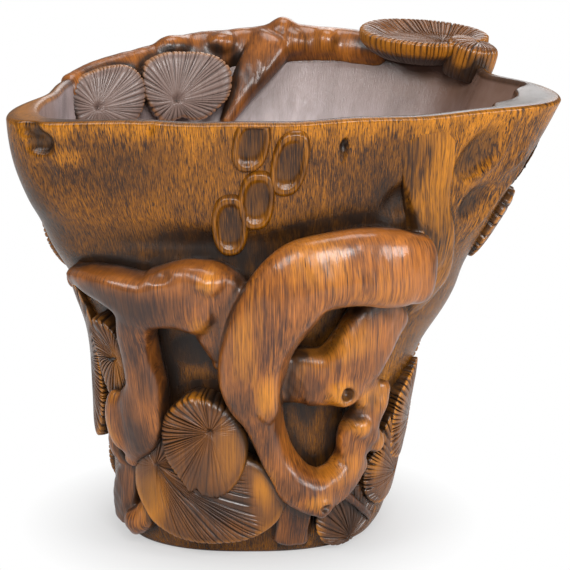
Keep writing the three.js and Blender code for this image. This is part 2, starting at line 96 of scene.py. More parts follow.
class HornCupColours(bpy.types.PropertyGroup):
    wall_gold: colour("Wall gold", "Lighter horn of the wall", 0.29, 0.098, 0.003)
    wall_brown: colour("Wall brown", "Darker horn of the wall", 0.05, 0.018, 0.005)
    wood_orange: colour("Branch orange", "Lighter horn of the branches", 0.46, 0.143, 0.018)
    wood_brown: colour("Branch brown", "Darker horn of the branches", 0.075, 0.021, 0.006)
    needle_brown: colour("Needle brown", "Horn of the needle pads", 0.085, 0.033, 0.014)
    needle_amber: colour("Needle amber", "Worn parts of the needle pads", 0.24, 0.08, 0.01)
    # The grey of the rim pads' horn is partly a painted sheen.
    rim_needles: colour("Rim needle brown", "Greyer horn of the pads on the rim", 0.225, 0.15, 0.125)
    # The inside's light mauve is partly a painted sheen.
    inside_mauve_and_sheen: colour("Inside", "Horn of the inside", 0.5, 0.41, 0.41)
    # Amber is a painted glow of light through thin edges and knots, and the colour of worn places.
    amber: colour("Amber", "Thin edges and knots, where light comes through", 0.66, 0.235, 0.008)
    # This darkest colour is dark wax and also painted shade, in recesses, needle grooves and painted shadows.
    wax_and_shade: colour("Patina", "Dark wax and dirt in the recesses", 0.016, 0.009, 0.006)
    floor: colour("Floor", "The studio's floor", 0.7, 0.7, 0.7)


def sizes():
    return bpy.context.scene.horn_cup_sizes


def colours():
    return bpy.context.scene.horn_cup_colours


# The wall as a formula: an oval section that flares to a mouth with corners

# The flare at stations up the wall, in percent of the rim's height: the share of the way
# from foot to mouth that its width, its depth and its shifts to tip and back have gone.
STATION_RISE = np.array([0, 4, 16, 32, 48, 58, 69, 85, 100])
STATION_WIDTH = np.array([0, 0.08, 0.14, 0.2, 0.3, 0.45, 0.65, 0.86, 1])
STATION_DEPTH = np.array([0, 0.11, 0.16, 0.22, 0.37, 0.5, 0.64, 0.83, 1])
STATION_TIP = np.array([0, 0.03, 0.14, 0.24, 0.31, 0.34, 0.38, 0.59, 1])
STATION_BACK = np.array([0, 0.08, 0.17, 0.17, 0.17, 0.17, 0.25, 0.58, 1])
SQUARENESS = 2.4
# Corners and flats of the mouth: angle in degrees, share of the radius, spread in degrees.
MOUTH_CORNERS = (
    (211, 0.18, 15),
    (305, 0.03, 14),
    (340, 0.1, 15),
    (12, -0.15, 17),
    (50, -0.05, 20),
    (146, -0.13, 26),
    (180, -0.07, 14),
)
# The share of the corners that the hollow follows, and the rises between which they grow.
INSIDE_CORNER = 0.6
CORNERS_START = 50
CORNERS_END = 97
# How steeply the rim climbs to the tip and to the back.
TIP_CLIMB = 0.022
BACK_CLIMB = 0.02
# The wall's thickness low down and in the middle, at the first two of these rises.
THICKNESS_RISES = (25, 70, 100)
LOW_THICKNESS = 9
MIDDLE_THICKNESS = 5
LEAST_WALL = 2.4
FLOOR_ROUND = 9
RIM_ROUND = 2.4
HOLLOW_ROUND = 1.6
TABLE_ANGLES = 481
TABLE_HEIGHTS = 190
SLOPE_STEP = 0.5


def smooth_step(low, high, value):
    t = np.clip((value - low) / (high - low), 0, 1)
    return t * t * (3 - 2 * t)


def smooth_curve(x, heights, at):
    """A smooth curve through points, flat past the ends."""
    at = np.clip(at, x[0], x[-1])
    slope = np.diff(heights) / np.diff(x)
    tangent = np.concatenate([slope[:1], (slope[1:] + slope[:-1]) / 2, slope[-1:]])
    i = np.clip(np.searchsorted(x, at, side="left") - 1, 0, len(x) - 2)
    span = x[i + 1] - x[i]
    t = (at - x[i]) / span
    ahead = t * t * (3 - 2 * t)
    bend = t * (1 - t) ** 2 * tangent[i] - t * t * (1 - t) * tangent[i + 1]
    return heights[i] * (1 - ahead) + heights[i + 1] * ahead + span * bend


def unit(vectors):
    return vectors / np.maximum(np.linalg.norm(vectors, axis=-1, keepdims=True), 1e-9)


def turn_between(angle, centre):
    """Degrees from centre to angle, from -180 to 180."""
    return (angle - centre + 180) % 360 - 180


class Wall:
    """The outer wall. Angles are degrees from +X, rises are percent of the rim's height."""

    def __init__(self):
        s = sizes()
        self.height = s.rim_height / MM
        self.foot = (s.foot_width / MM, s.foot_depth / MM)
        self.mouth = (s.mouth_width / MM, s.mouth_depth / MM)
        self.shift = (s.mouth_towards_tip / MM, s.mouth_towards_back / MM)
        self.rim_thickness = s.rim_thickness / MM
        self.floor = s.floor_height / MM
        self.table_angles = np.linspace(0, 360, TABLE_ANGLES)
        self.table_heights = np.linspace(0, self.height, TABLE_HEIGHTS)
        angle, z = np.meshgrid(self.table_angles, self.table_heights, indexing="ij")
        self.radii = self.radius(angle, z)
        self.inner_radii = self.inner_radius(angle, z, self.thickness(z))
        normal = self.normal(angle, z)
        turn = np.radians(angle)
        self.leans = normal[..., 0] * np.cos(turn) + normal[..., 1] * np.sin(turn)

    def middle(self, z):
        rise = np.clip(100 * z / self.height, 0, 100)
        x = self.shift[0] * smooth_curve(STATION_RISE, STATION_TIP, rise)
        y = self.shift[1] * smooth_curve(STATION_RISE, STATION_BACK, rise)
        return x, y

    def radius(self, angle, z, corner_share=1.0):
        rise = np.clip(100 * z / self.height, 0, 100)
        width = smooth_curve(STATION_RISE, STATION_WIDTH, rise)
        depth = smooth_curve(STATION_RISE, STATION_DEPTH, rise)
        half_width = (self.foot[0] + (self.mouth[0] - self.foot[0]) * width) / 2
        half_depth = (self.foot[1] + (self.mouth[1] - self.foot[1]) * depth) / 2
        turn = np.radians(angle)
        across = np.abs(np.cos(turn) / half_width) ** SQUARENESS
        deep = np.abs(np.sin(turn) / half_depth) ** SQUARENESS
        corner = sum(
            reach * np.exp(-((turn_between(angle, centre) / spread) ** 2))
            for centre, reach, spread in MOUTH_CORNERS
        )
        share = corner_share * smooth_step(CORNERS_START, CORNERS_END, rise)
        return (across + deep) ** (-1 / SQUARENESS) * (1 + share * corner)

    def inner_radius(self, angle, z, thickness):
        """The hollow's radius, with softer corners than the outside."""
        soft = self.radius(angle, z, INSIDE_CORNER)
        return np.minimum(soft - thickness, self.radius(angle, z) - LEAST_WALL)

    def thickness(self, z):
        rise = 100 * z / self.height
        return np.interp(rise, THICKNESS_RISES, (LOW_THICKNESS, MIDDLE_THICKNESS, self.rim_thickness))

    def outside(self, angle, z):
        x, y = self.middle(z)
        radius = self.radius(angle, z)
        turn = np.radians(angle)
        return np.stack([x + radius * np.cos(turn), y + radius * np.sin(turn), z + 0 * radius], -1)

    def normal(self, angle, z):
        z = np.clip(z, SLOPE_STEP, self.height - SLOPE_STEP)
        around = self.outside(angle + SLOPE_STEP, z) - self.outside(angle - SLOPE_STEP, z)
        up = self.outside(angle, z + SLOPE_STEP) - self.outside(angle, z - SLOPE_STEP)
        return unit(np.cross(around, up))

    def out(self, angle, rise):
        """The way straight out of the wall at an angle and a rise."""
        return self.normal(np.asarray(angle, float), np.clip(self.height * rise / 100, 0, self.height))

    def point(self, angle, rise, lift=0.0):
        """A place on the carving. Over the rim, the wall is taken to go straight up."""
        angle, rise, lift = np.broadcast_arrays(*(np.asarray(v, float) for v in (angle, rise, lift)))
        z = self.height * rise / 100
        on_wall = np.clip(z, 0, self.height)
        point = self.outside(angle, on_wall) + self.normal(angle, on_wall) * lift[..., None]
        point[..., 2] += z - on_wall
        return point

    def look_up(self, table, angle, z):
        a = (angle % 360) / 360 * (len(self.table_angles) - 1)
        h = np.clip(z / self.height, 0, 1) * (len(self.table_heights) - 1)
        i = np.minimum(a.astype(int), len(self.table_angles) - 2)
        j = np.minimum(h.astype(int), len(self.table_heights) - 2)
        a, h = a - i, h - j
        low = table[i, j] * (1 - a) + table[i + 1, j] * a
        high = table[i, j + 1] * (1 - a) + table[i + 1, j + 1] * a
        return low * (1 - h) + high * h

    def polar(self, points):
        x, y = self.middle(points[:, 2])
        dx, dy = points[:, 0] - x, points[:, 1] - y
        return np.degrees(np.arctan2(dy, dx)), np.hypot(dx, dy)

    def rim(self, points):
        return self.height + TIP_CLIMB * points[..., 0] + BACK_CLIMB * points[..., 1]

    def lift(self, points):
        """How far points stand off the outer wall."""
        angle, away = self.polar(points)
        z = points[:, 2]
        return (away - self.look_up(self.radii, angle, z)) * self.look_up(self.leans, angle, z)

    def shell(self, points):
        """Distance to the horn of the wall, less than zero inside the horn."""
        angle, away = self.polar(points)
        z = points[:, 2]
        lean = self.look_up(self.leans, angle, z)
        outer = (away - self.look_up(self.radii, angle, z)) * lean
        inner = (self.look_up(self.inner_radii, angle, z) - away) * lean
        hollow = np.minimum(inner, z - self.floor)
        top = smooth_max(outer, z - self.rim(points), RIM_ROUND)
        return smooth_max(np.maximum(top, -z), hollow, HOLLOW_ROUND)


# Distances to carved forms


def smooth_min(a, b, reach):
    h = np.maximum(reach - np.abs(a - b), 0) / reach
    return np.minimum(a, b) - h * h * reach / 4


def smooth_max(a, b, reach):
    return -smooth_min(-a, -b, reach)


def smooth_line(points, steps):
    """Points on a smooth line through the given ones."""
    ends = [2 * points[0] - points[1], *points, 2 * points[-1] - points[-2]]
    p = np.array(ends, float)
    t = np.arange(steps)[:, None] / steps
    spans = []
    for i in range(len(points) - 1):
        a, b, c, d = p[i : i + 4]
        spans.append(
            b + 0.5 * t * (c - a + t * (2 * a - 5 * b + 4 * c - d + t * (3 * (b - c) + d - a)))
        )
    return np.concatenate([*spans, p[-2][None]])


def oval_distance(offset, radii, power):
    """Distance along the ray from the middle of an oval solid."""
    away = np.linalg.norm(offset, axis=-1)
    share = (np.abs(offset / radii) ** power).sum(-1) ** (1 / power)
    return away * (1 - 1 / np.maximum(share, 1e-6))


class Limb:
    """An oval rod along a path of [angle, rise, lift, width, depth]."""

    def __init__(self, wall, path, square=2.3, roll=0.0, steps=8):
        path = np.array(path, float)
        self.square = square
        self.middle = smooth_line(wall.point(path[:, 0], path[:, 1], path[:, 2]), steps)
        place = smooth_line(path[:, :2], steps)
        size = smooth_line(path[:, 3:5] / 2, steps)
        self.along = unit(np.gradient(self.middle, axis=0))
        out = wall.out(place[:, 0], place[:, 1])
        out = unit(out - (out * self.along).sum(-1, keepdims=True) * self.along)
        side = np.cross(out, self.along)
        c, s = math.cos(math.radians(roll)), math.sin(math.radians(roll))
        self.side = side * c + out * s
        self.out = out * c - side * s
        self.radii = np.concatenate([size, size.min(-1, keepdims=True)], -1)
        self.step = np.linalg.norm(np.diff(self.middle, axis=0), axis=1).mean()
        reach = size.max()
        self.low, self.high = self.middle.min(0) - reach, self.middle.max(0) + reach

    def distance(self, points):
        squares = (self.middle**2).sum(-1) - 2 * points @ self.middle.T
        near = np.argmin(squares, axis=1)
        offset = points - self.middle[near]
        along = (offset * self.along[near]).sum(-1)
        last = len(self.middle) - 1
        following = np.clip(near + np.sign(along).astype(int), 0, last)
        share = np.where(following == near, 0, np.clip(np.abs(along) / self.step, 0, 1))[:, None]

        def between(values):
            return values[near] * (1 - share) + values[following] * share

        offset = points - between(self.middle)
        past = np.where(following == near, np.abs(along), 0)
        local = np.stack(
            [(offset * between(self.side)).sum(-1), (offset * between(self.out)).sum(-1), past], -1
        )
        return oval_distance(local, between(self.radii), self.square)


class Knob:
    """An oval lump or hollow at [angle, rise, lift, across, up, out] half sizes, turned in the wall."""

    def __init__(self, wall, place, turn=0.0, power=2.0):
        angle, rise, lift, across, up, out = place
        self.middle = wall.point(angle, rise, lift)
        normal = wall.out(angle, rise)
        side = unit(np.cross([0, 0, 1], normal))
        top = np.cross(normal, side)
        c, s = math.cos(math.radians(turn)), math.sin(math.radians(turn))
        self.axes = np.stack([side * c + top * s, top * c - side * s, normal], -1)
        self.radii = np.array([across, up, out], float)
        self.power = power
        reach = max(across, up, out)
        self.low, self.high = self.middle - reach, self.middle + reach

    def distance(self, points):
        return oval_distance((points - self.middle) @ self.axes, self.radii, self.power)


# How softly the limbs, knobs and hollows of one element run together.
LIMB_FILLET = 2.5
KNOB_FILLET = 1.6
HOLLOW_FILLET = 0.7


class Form:
    """One element of the carving: limbs and knobs run together, then its hollows cut out."""

    def __init__(self, wall, spec):
        square, roll = spec.get("square", 2.5), spec.get("roll", 0)
        self.limbs = [Limb(wall, path, square, roll) for path in spec.get("paths", ())]
        self.knobs = [Knob(wall, place) for place in spec.get("knobs", ())]
        self.hollows = [Knob(wall, place) for place in spec.get("hollows", ())]
        self.lumps = spec.get("lumps", 0.28)
        parts = self.limbs + self.knobs
        self.low = np.min([part.low for part in parts], axis=0)
        self.high = np.max([part.high for part in parts], axis=0)

    def distance(self, points):
        parts = self.limbs + self.knobs
        total = parts[0].distance(points)
        for limb in self.limbs[1:]:
            total = smooth_min(total, limb.distance(points), LIMB_FILLET)
        for knob in self.knobs:
            total = smooth_min(total, knob.distance(points), KNOB_FILLET)
        for hollow in self.hollows:
            total = smooth_max(total, -hollow.distance(points), HOLLOW_FILLET)
        return total - self.lumps * lumps(points)


def lumps(points):
    """A gentle unevenness, from -1 to 1, that keeps the carving from looking turned."""
    x, y, z = points.T
    wide = np.sin(0.83 * x + 1.3 * np.sin(0.31 * z)) * np.sin(0.71 * y + 1.1)
    wide = wide * np.sin(0.52 * z + 0.4 * np.sin(0.4 * x))
    fine = np.sin(1.7 * x + 0.9 * y + 0.6) * np.sin(1.9 * y - 0.7 * z) * np.sin(1.1 * z + 0.8 * x)
    return 0.65 * wide + 0.35 * fine


# The elements of the tree. paths are limbs along points of angle, rise, lift, width and depth. knobs
# and hollows have angle, rise, lift and the half sizes across, up and out. square is how square a
# limb's section is, roll turns it in degrees, and lumps is how uneven the element is.

WOOD = {
    "trunk_ring": {
        "square": 3.0,
        "roll": 24,
        "lumps": 0.12,
        "paths": [
            [
                (313.2, 69.2, 5.2, 14.5, 11), (308, 70, 6, 16, 12), (300.8, 70.6, 6.4, 15.6, 12.5),
                (292.2, 69.8, 6.6, 15.2, 12.5), (284.6, 67.9, 6.6, 15.8, 12.5),
                (279, 63.8, 6.6, 16, 12.5), (273.6, 58.4, 6.5, 15.2, 12), (270.2, 53.3, 6.3, 14, 12),
                (267.9, 46.4, 6, 13.2, 11.5), (268.8, 41.1, 5.8, 11, 11), (272.4, 36.4, 5.4, 7.8, 10),
                (275.3, 31.7, 5, 6.2, 9), (279.4, 26.2, 4.8, 5.8, 8.5), (284, 22.1, 4.8, 6.4, 8.5),
                (289, 18.7, 4.8, 7.8, 8.5), (296.8, 17, 4.4, 8.8, 8), (304.1, 18.8, 4, 8, 7.5),
                (308.7, 22.1, 3.6, 7, 7),
            ],
            [(290, 18.5, 5.6, 6, 6), (294.6, 15.4, 7, 4.8, 4.8), (297.2, 14.2, 7.8, 4, 4)],
        ],
        "knobs": [(274.6, 41.2, 10.6, 2.3, 4.2, 3), (273.6, 45.5, 9.8, 2.6, 3, 2.4)],
        "hollows": [(298.6, 14.2, 9.6, 1.2, 0.8, 1.3)],
    },
    "twig_knotted": {
        "square": 2.2,
        "paths": [
            [
                (308.5, 23.5, 4, 6, 6), (309.5, 28.7, 4.4, 8.4, 6.4), (310.8, 32.5, 4.4, 7.4, 6.4),
                (312.6, 36, 4, 5, 5),
            ],
            [(313.5, 33.4, 5.2, 3.6, 3.8), (315.4, 37, 5.2, 3.8, 3.8), (316.6, 40, 4.6, 3.6, 3.4)],
        ],
        "knobs": [
            (308.9, 32, 7.2, 1.8, 2, 1.8), (308.6, 38.6, 5.6, 1.5, 2.4, 2), (317, 27.4, 4.8, 2, 2.6, 2.2),
            (312, 40.5, 4.6, 1.6, 2.2, 1.8), (314, 29.8, 6, 1.6, 1.6, 1.6),
        ],
    },
    "trunk_stub": {
        "square": 2.9,
        "paths": [
            [
                (314, 57.5, 1.4, 13, 6), (309.4, 54, 2.9, 13.5, 7.6), (304.8, 48.6, 4.2, 12.5, 8.5),
                (301.6, 42.6, 4.8, 7, 7),
            ],
            [
                (306, 46, 3.4, 13, 8), (296.4, 43.7, 3.6, 12.2, 8), (288.2, 43.4, 2.6, 12, 6.6),
                (281, 42, 1.4, 10, 5),
            ],
        ],
        "knobs": [(301.4, 41.4, 7, 3, 3, 2.6), (306.6, 41.8, 5.2, 1.4, 2.8, 2)],
        "hollows": [(301.6, 41.6, 9.8, 1.35, 1.55, 2.8)],
    },
    "branch_left": {
        "square": 3.2,
        "lumps": 0.14,
        "paths": [[
            (213.4, 65.2, 2.2, 3.9, 4.2), (218.7, 65.4, 3.2, 6, 6), (225.5, 64.3, 4, 8.4, 8),
            (232.9, 62.3, 4.4, 11, 9), (238.7, 62.5, 4.2, 12.5, 9), (246.9, 63.4, 4, 14, 9),
            (253.6, 61.8, 3, 15.5, 8.6), (257, 57.4, 2.2, 14, 8), (257.8, 52.2, 1.8, 11, 7),
            (257.8, 47.2, 1.4, 6, 5),
        ]],
        "knobs": [
            (253.3, 67, 6.4, 3.2, 2.4, 2.8), (250.8, 59.8, 6.8, 2.2, 2, 2), (247, 62, 7, 4, 4, 1.8),
            (248.4, 57.8, 4.4, 3.4, 3, 3.6),
        ],
        "hollows": [(251.2, 64.6, 9.8, 1.8, 2.4, 1.6), (239, 69.2, 8.6, 3, 2, 2.6)],
    },
    "limb_left": {
        "square": 2.7,
        "lumps": 0.16,
        "paths": [[
            (230.8, 60, 4.2, 9.5, 9), (228.5, 53.7, 4.2, 7.6, 8.5), (228.4, 47.1, 4.2, 7.2, 8.5),
            (228.9, 41.1, 4.2, 8.4, 8.5), (226.7, 35.8, 4, 11.2, 8.5), (224.9, 30.7, 3.8, 11.6, 8),
            (222.2, 25.9, 3.2, 8.6, 7), (220.5, 22.4, 2.8, 4.4, 4.6),
        ]],
        "knobs": [(217.6, 32, 5.8, 2.8, 6.5, 2.4)],
        "hollows": [(221.5, 33, 9.2, 0.9, 6, 1.5)],
    },
    "limb_left_spur": {
        "paths": [[
            (217.5, 34, 2.2, 3.4, 4), (213, 28, 2.6, 4, 4.6), (211.6, 23.5, 2.6, 4.2, 4.6),
            (212.6, 20.8, 2.2, 3, 3.4),
        ]],
    },
    "trunk_root": {
        "square": 2.8,
        "paths": [
            [(289.5, 17.5, 1.2, 8, 5), (290, 10.5, 0.9, 8, 4.4), (290, 4.5, 0.3, 7.6, 3.4)],
            [
                (304, 16.6, 2.6, 3.4, 4), (309.4, 14.4, 2.7, 2.2, 2.6), (315.5, 11.4, 2.5, 1.7, 2.1),
                (321, 8.8, 2.1, 1.5, 1.8), (325.4, 6.6, 1.5, 1.1, 1.4),
            ],
        ],
        "hollows": [(298.4, 6, 2, 0.8, 7, 1.6)],
    },
    "root_left_front": {
        "paths": [[(226, 11.5, 1.4, 4, 3.6), (221, 7, 1.8, 5.4, 4.6), (216.5, 5, 1.4, 4, 3.6)]],
        "knobs": [(219, 7, 3, 2.2, 2, 1.6)],
    },
    "root_left": {
        "paths": [[(214, 19, 0.6, 6, 4), (212, 12, 1, 7.5, 5), (209.5, 6.5, 0.8, 6, 4)]],
    },
    "bark_ridge": {
        "square": 2.6,
        "lumps": 0.12,
        "paths": [
            [
                (308.8, 96.2, -1.2, 8, 1.4), (310.1, 92, -0.8, 7.5, 2.5), (312.2, 87, -0.5, 6.4, 3.2),
                (315, 81, 0.2, 5.6, 4.2), (318, 75.5, 1, 5.6, 5.2), (321, 70, 1.4, 5.6, 5.4),
            ],
            [
                (314.5, 96.2, -1.2, 5.6, 1.4), (315.9, 92, -0.8, 5.4, 2.3), (317.8, 87, -0.5, 5, 3),
                (320, 80, 0.1, 5.6, 3.8), (323.4, 73.5, 0.8, 7, 4.6), (327, 64.5, 1.2, 8, 4.4),
                (329.3, 56, -0.6, 7, 3.6), (329, 50, -2.2, 6, 2.8),
            ],
        ],
        "hollows": [(311.6, 86, 2.6, 0.4, 3.6, 1), (316, 80, 4.2, 0.5, 12, 1.2)],
    },
    "handle_trunk": {
        "square": 2.6,
        "paths": [[
            (99, 5, 2.6, 18, 8), (101, 15, 4, 16, 10), (104, 26.5, 5.4, 14, 11),
            (102, 38, 8, 12.5, 11), (96, 48.5, 12, 12, 11), (90, 59.5, 14.6, 12, 11),
            (86, 71, 15.2, 11.5, 10.5), (84, 82.5, 13.6, 11.5, 10.5), (84, 92, 9.5, 12, 10.5),
            (86, 101, 4, 11.5, 9.5),
        ]],
        "knobs": [
            (99, 33, 12.4, 3, 4, 2.4), (93, 62, 19.4, 2.4, 3.6, 2), (88, 80, 19, 2.6, 3, 1.8),
            (108, 20, 8.6, 2.8, 3.6, 2.4),
        ],
        "hollows": [(99, 33.4, 14.8, 1.2, 1.8, 1.6), (94, 52, 17.6, 0.9, 4.5, 1)],
    },
    "branch_back_left": {
        "paths": [[
            (104, 30.5, 3, 9, 8), (116, 38, 3.6, 8.5, 8), (129, 45.5, 3.8, 8, 7.5),
            (143, 50.5, 3.6, 7, 7), (157, 53, 3, 6, 6), (170, 56, 2.2, 4.5, 4.5),
        ]],
        "knobs": [(124, 44.5, 7, 2.2, 2.6, 2), (148, 50.5, 6, 1.8, 1.8, 1.6)],
    },
    "branch_back_right": {
        "paths": [[
            (96, 19, 3, 9, 8), (83, 27.5, 3.6, 8.5, 8), (69, 37, 3.8, 8, 7.5), (56, 48.5, 3.6, 7, 7),
            (45, 59.5, 3, 6, 6), (36, 67.5, 2.2, 4.5, 4.5),
        ]],
        "knobs": [(76, 32.5, 7, 2.2, 2.4, 2), (52, 52.5, 6.2, 1.8, 2.2, 1.6)],
        "hollows": [(76, 33, 9, 0.9, 1.1, 1.4)],
    },
    "branch_back_upper": {
        "paths": [[
            (90, 89, 5, 9, 8), (101, 83.5, 3.6, 8, 7.5), (112, 81.5, 3.4, 7, 6.5),
            (122, 83, 3, 6, 5.5), (131, 87, 2, 4.5, 4.5),
        ]],
        "knobs": [(108, 82.5, 6.4, 1.8, 2, 1.6)],
    },
    "handle_branch": {
        "square": 2.5,
        "roll": -8,
        "lumps": 0.14,
        "paths": [[
            (161.5, 97.6, -0.6, 6, 4.5), (155, 98, -0.6, 8, 5), (147, 98.8, -0.4, 9, 5.4),
            (138, 99.2, -0.2, 10, 6), (128, 99.8, 0, 11, 6.5), (118, 101.4, 0, 11, 7),
            (108, 103, 0, 8.6, 7.4), (99, 103.8, 0, 8, 8), (90, 104.2, 0, 9, 8.5), (80, 104, 0, 8, 8),
            (70, 103.8, 0, 7.6, 7.6), (60, 103.2, -0.4, 7.4, 7.4),
        ]],
        "knobs": [
            (90, 107.6, -0.6, 2.8, 2.6, 3), (127, 104.2, -1, 4.4, 2.6, 2.6), (111, 104.2, -3, 3, 2.2, 2),
            (75, 104.4, -3.4, 2.4, 2.4, 1.8), (86, 104, -4, 2.6, 2.4, 1.6),
        ],
    },
    "handle_fork": {
        "square": 2.8,
        "roll": 20,
        "lumps": 0.12,
        "paths": [[
            (95, 102.2, -3.6, 9.5, 7), (98.5, 98, -5.4, 8.6, 6.6), (101.5, 94, -6.2, 7, 5.6),
            (104, 90, -6.6, 5, 4.6), (106.5, 86, -6.8, 3.2, 3.4),
        ]],
        "hollows": [(98.6, 98, -10, 0.9, 7, 1.2)],
    },
}

# The look and the material slot of the elements that aren't plain branches.
WOOD_LOOKS = {
    "bark_ridge": ("bark", "bark"),
    "handle_branch": ("rim_wood", "rim_branches"),
    "handle_fork": ("rim_wood", "rim_branches"),
}

# Pads of needles: angle and rise of the middle, half sizes across and up, thickness. lift, lean and
# pitch raise the pad, its right side and its top. outline has the edge's angle and distance. eye is
# where the needles meet, in shares of the half sizes. bow bends the needles, deep deepens them, fine
# and beaded set their spacing, fade is where they start, worn is the angle and spread of a smooth
# side, and cut the same for the one side that is cut, with the share left elsewhere.
WALL_PADS = {
    "needles_front_upper": {
        "angle": 249.8, "rise": 28, "across": 8, "up": 11.6, "thick": 7.5, "lift": 0.5, "pitch": -0.05,
        "turn": 6,
        "outline": (
            (0, 8.4), (22, 8.6), (50, 9.5), (66, 10.2), (80, 11), (94, 11.5), (104, 11.2), (117, 10.4),
            (136, 9.2), (158, 7.9), (180, 7.3), (202, 7.5), (224, 8), (241, 9.1), (252, 10.4), (257, 9.6),
            (264, 10.8), (280, 11.4), (302, 10.2), (325, 9), (345, 8.5),
        ),
        "eye": (0.2, 0.34), "worn": (-20, 58), "cut": (142, 46, 0.42), "deep": 1.7,
    },
    "needles_front_lower": {
        "angle": 250, "rise": 15.5, "across": 14.6, "up": 10.6, "thick": 5.8, "lean": 0.07, "turn": -8,
        "outline": (
            (3, 16.2), (18, 15.8), (35, 14.2), (59, 12), (95, 13), (118, 17.2), (130, 18), (143, 17.2),
            (156, 15.2), (173, 13.9), (190, 13.3), (209, 12.3), (222, 11.9), (240, 10.9), (270, 9.9),
            (295, 10.2), (311, 11.2), (335, 14), (350, 15.7),
        ),
        "eye": (-0.66, 0.45), "bow": -0.05, "worn": (195, 62), "deep": 1.3, "smooth_right": 8,
    },
    "needles_left_front": {
        "angle": 214.5, "rise": 45, "across": 4.8, "up": 10.4, "thick": 4.8, "lean": 0.1, "turn": 4,
        "eye": (0.55, 0.1), "bow": 0.1, "deep": 2.2, "worn": (0, 70),
    },
    "needles_left": {
        "angle": 187, "rise": 38, "across": 8.6, "up": 17, "thick": 3.1, "pitch": -0.08,
        "outline": (
            (0, 8.6), (30, 9.4), (50, 12.5), (61, 18), (69, 22.5), (77, 20.5), (90, 17.5), (120, 12),
            (150, 9.5), (180, 9), (210, 10), (240, 13), (270, 15.5), (290, 15), (310, 12), (335, 9.4),
        ),
        "eye": (-0.3, 0.1), "beaded": 1.1, "deep": 1.9,
    },
    "needles_right_low": {
        "angle": 329, "rise": 20, "across": 7.6, "up": 11.4, "thick": 2.8, "lean": -0.12,
        "outline": (
            (188, 6.9), (156, 5.8), (124, 6.4), (101, 9.3), (90, 12.2), (78, 12.6), (60, 12), (30, 8.6),
            (0, 7.4), (330, 8), (300, 9.5), (270, 9.8), (240, 9), (210, 7.4),
        ),
        "eye": (0.6, -0.35), "beaded": 1.25, "deep": 2.1, "worn": (-42, 92),
    },
    "needles_right_middle": {
        "angle": 340, "rise": 30, "across": 9.5, "up": 10.5, "thick": 2.4, "lean": -0.16,
        "outline": (
            (180, 7), (160, 7.4), (143, 8.1), (119, 8.4), (96, 9.4), (80, 10.6), (60, 11.4), (30, 11),
            (0, 10.5), (330, 11), (300, 11.5), (270, 11), (240, 10.5), (210, 8),
        ),
        "eye": (0.5, -0.3), "beaded": 1.25, "deep": 2.1, "worn": (-30, 88),
    },
    "needles_foot_right": {
        "angle": 314.5, "rise": 8.8, "across": 8.2, "up": 6.6, "thick": 2, "lean": -0.1,
        "eye": (0.12, -0.75), "deep": 0.9, "fine": 1.3,
    },
    "needles_tip_upper": {
        "angle": 1, "rise": 86, "across": 12, "up": 8.4, "thick": 2.1, "lean": 0.15, "eye": (0.1, -0.3),
        "deep": 1.8, "beaded": 2.2, "lobes": 0.05,
        "outline": (
            (0, 9.5), (60, 8.4), (120, 9.5), (160, 14.5), (185, 15.5), (205, 13.5), (240, 9.4),
            (300, 8.6),
        ),
    },
    "needles_tip_lower": {
        "angle": 353, "rise": 73, "across": 9, "up": 8.6, "thick": 2.8, "lean": 0.06, "eye": (-0.2, 0.3),
        "deep": 1.8, "beaded": 2.2, "lobes": 0.06,
    },
    "needles_back_high": {
        "angle": 140, "rise": 84.5, "across": 9.5, "up": 8.8, "thick": 3.8, "eye": (0.1, -0.25),
    },
    "needles_back_left_upper": {
        "angle": 149, "rise": 64, "across": 11.5, "up": 9, "thick": 4.4, "turn": 10, "eye": (0.2, 0.2),
    },
    "needles_back_left_middle": {
        "angle": 168, "rise": 67.5, "across": 9.6, "up": 8.6, "thick": 3.6, "eye": (-0.2, -0.2),
    },
    "needles_back_left_low": {
        "angle": 134, "rise": 25.5, "across": 12, "up": 11.5, "thick": 5, "eye": (0.15, 0.3),
    },
    "needles_back_foot": {
        "angle": 150, "rise": 13.5, "across": 9, "up": 9, "thick": 3.2, "eye": (0.3, -0.2),
    },
    "needles_back_right_low": {
        "angle": 63, "rise": 17, "across": 12, "up": 11, "thick": 5, "turn": 8, "eye": (-0.2, 0.25),
    },
    "needles_back_right_middle": {
        "angle": 33, "rise": 42.5, "across": 10.5, "up": 11.5, "thick": 4.6, "eye": (0.1, -0.3),
    },
    "needles_back_right_upper": {
        "angle": 40, "rise": 77, "across": 12, "up": 9.4, "thick": 4, "eye": (-0.2, 0.1),
    },
    "needles_back_right_side": {
        "angle": 19, "rise": 23.5, "across": 9.4, "up": 11, "thick": 2.6, "eye": (0.2, 0.2),
    },
}

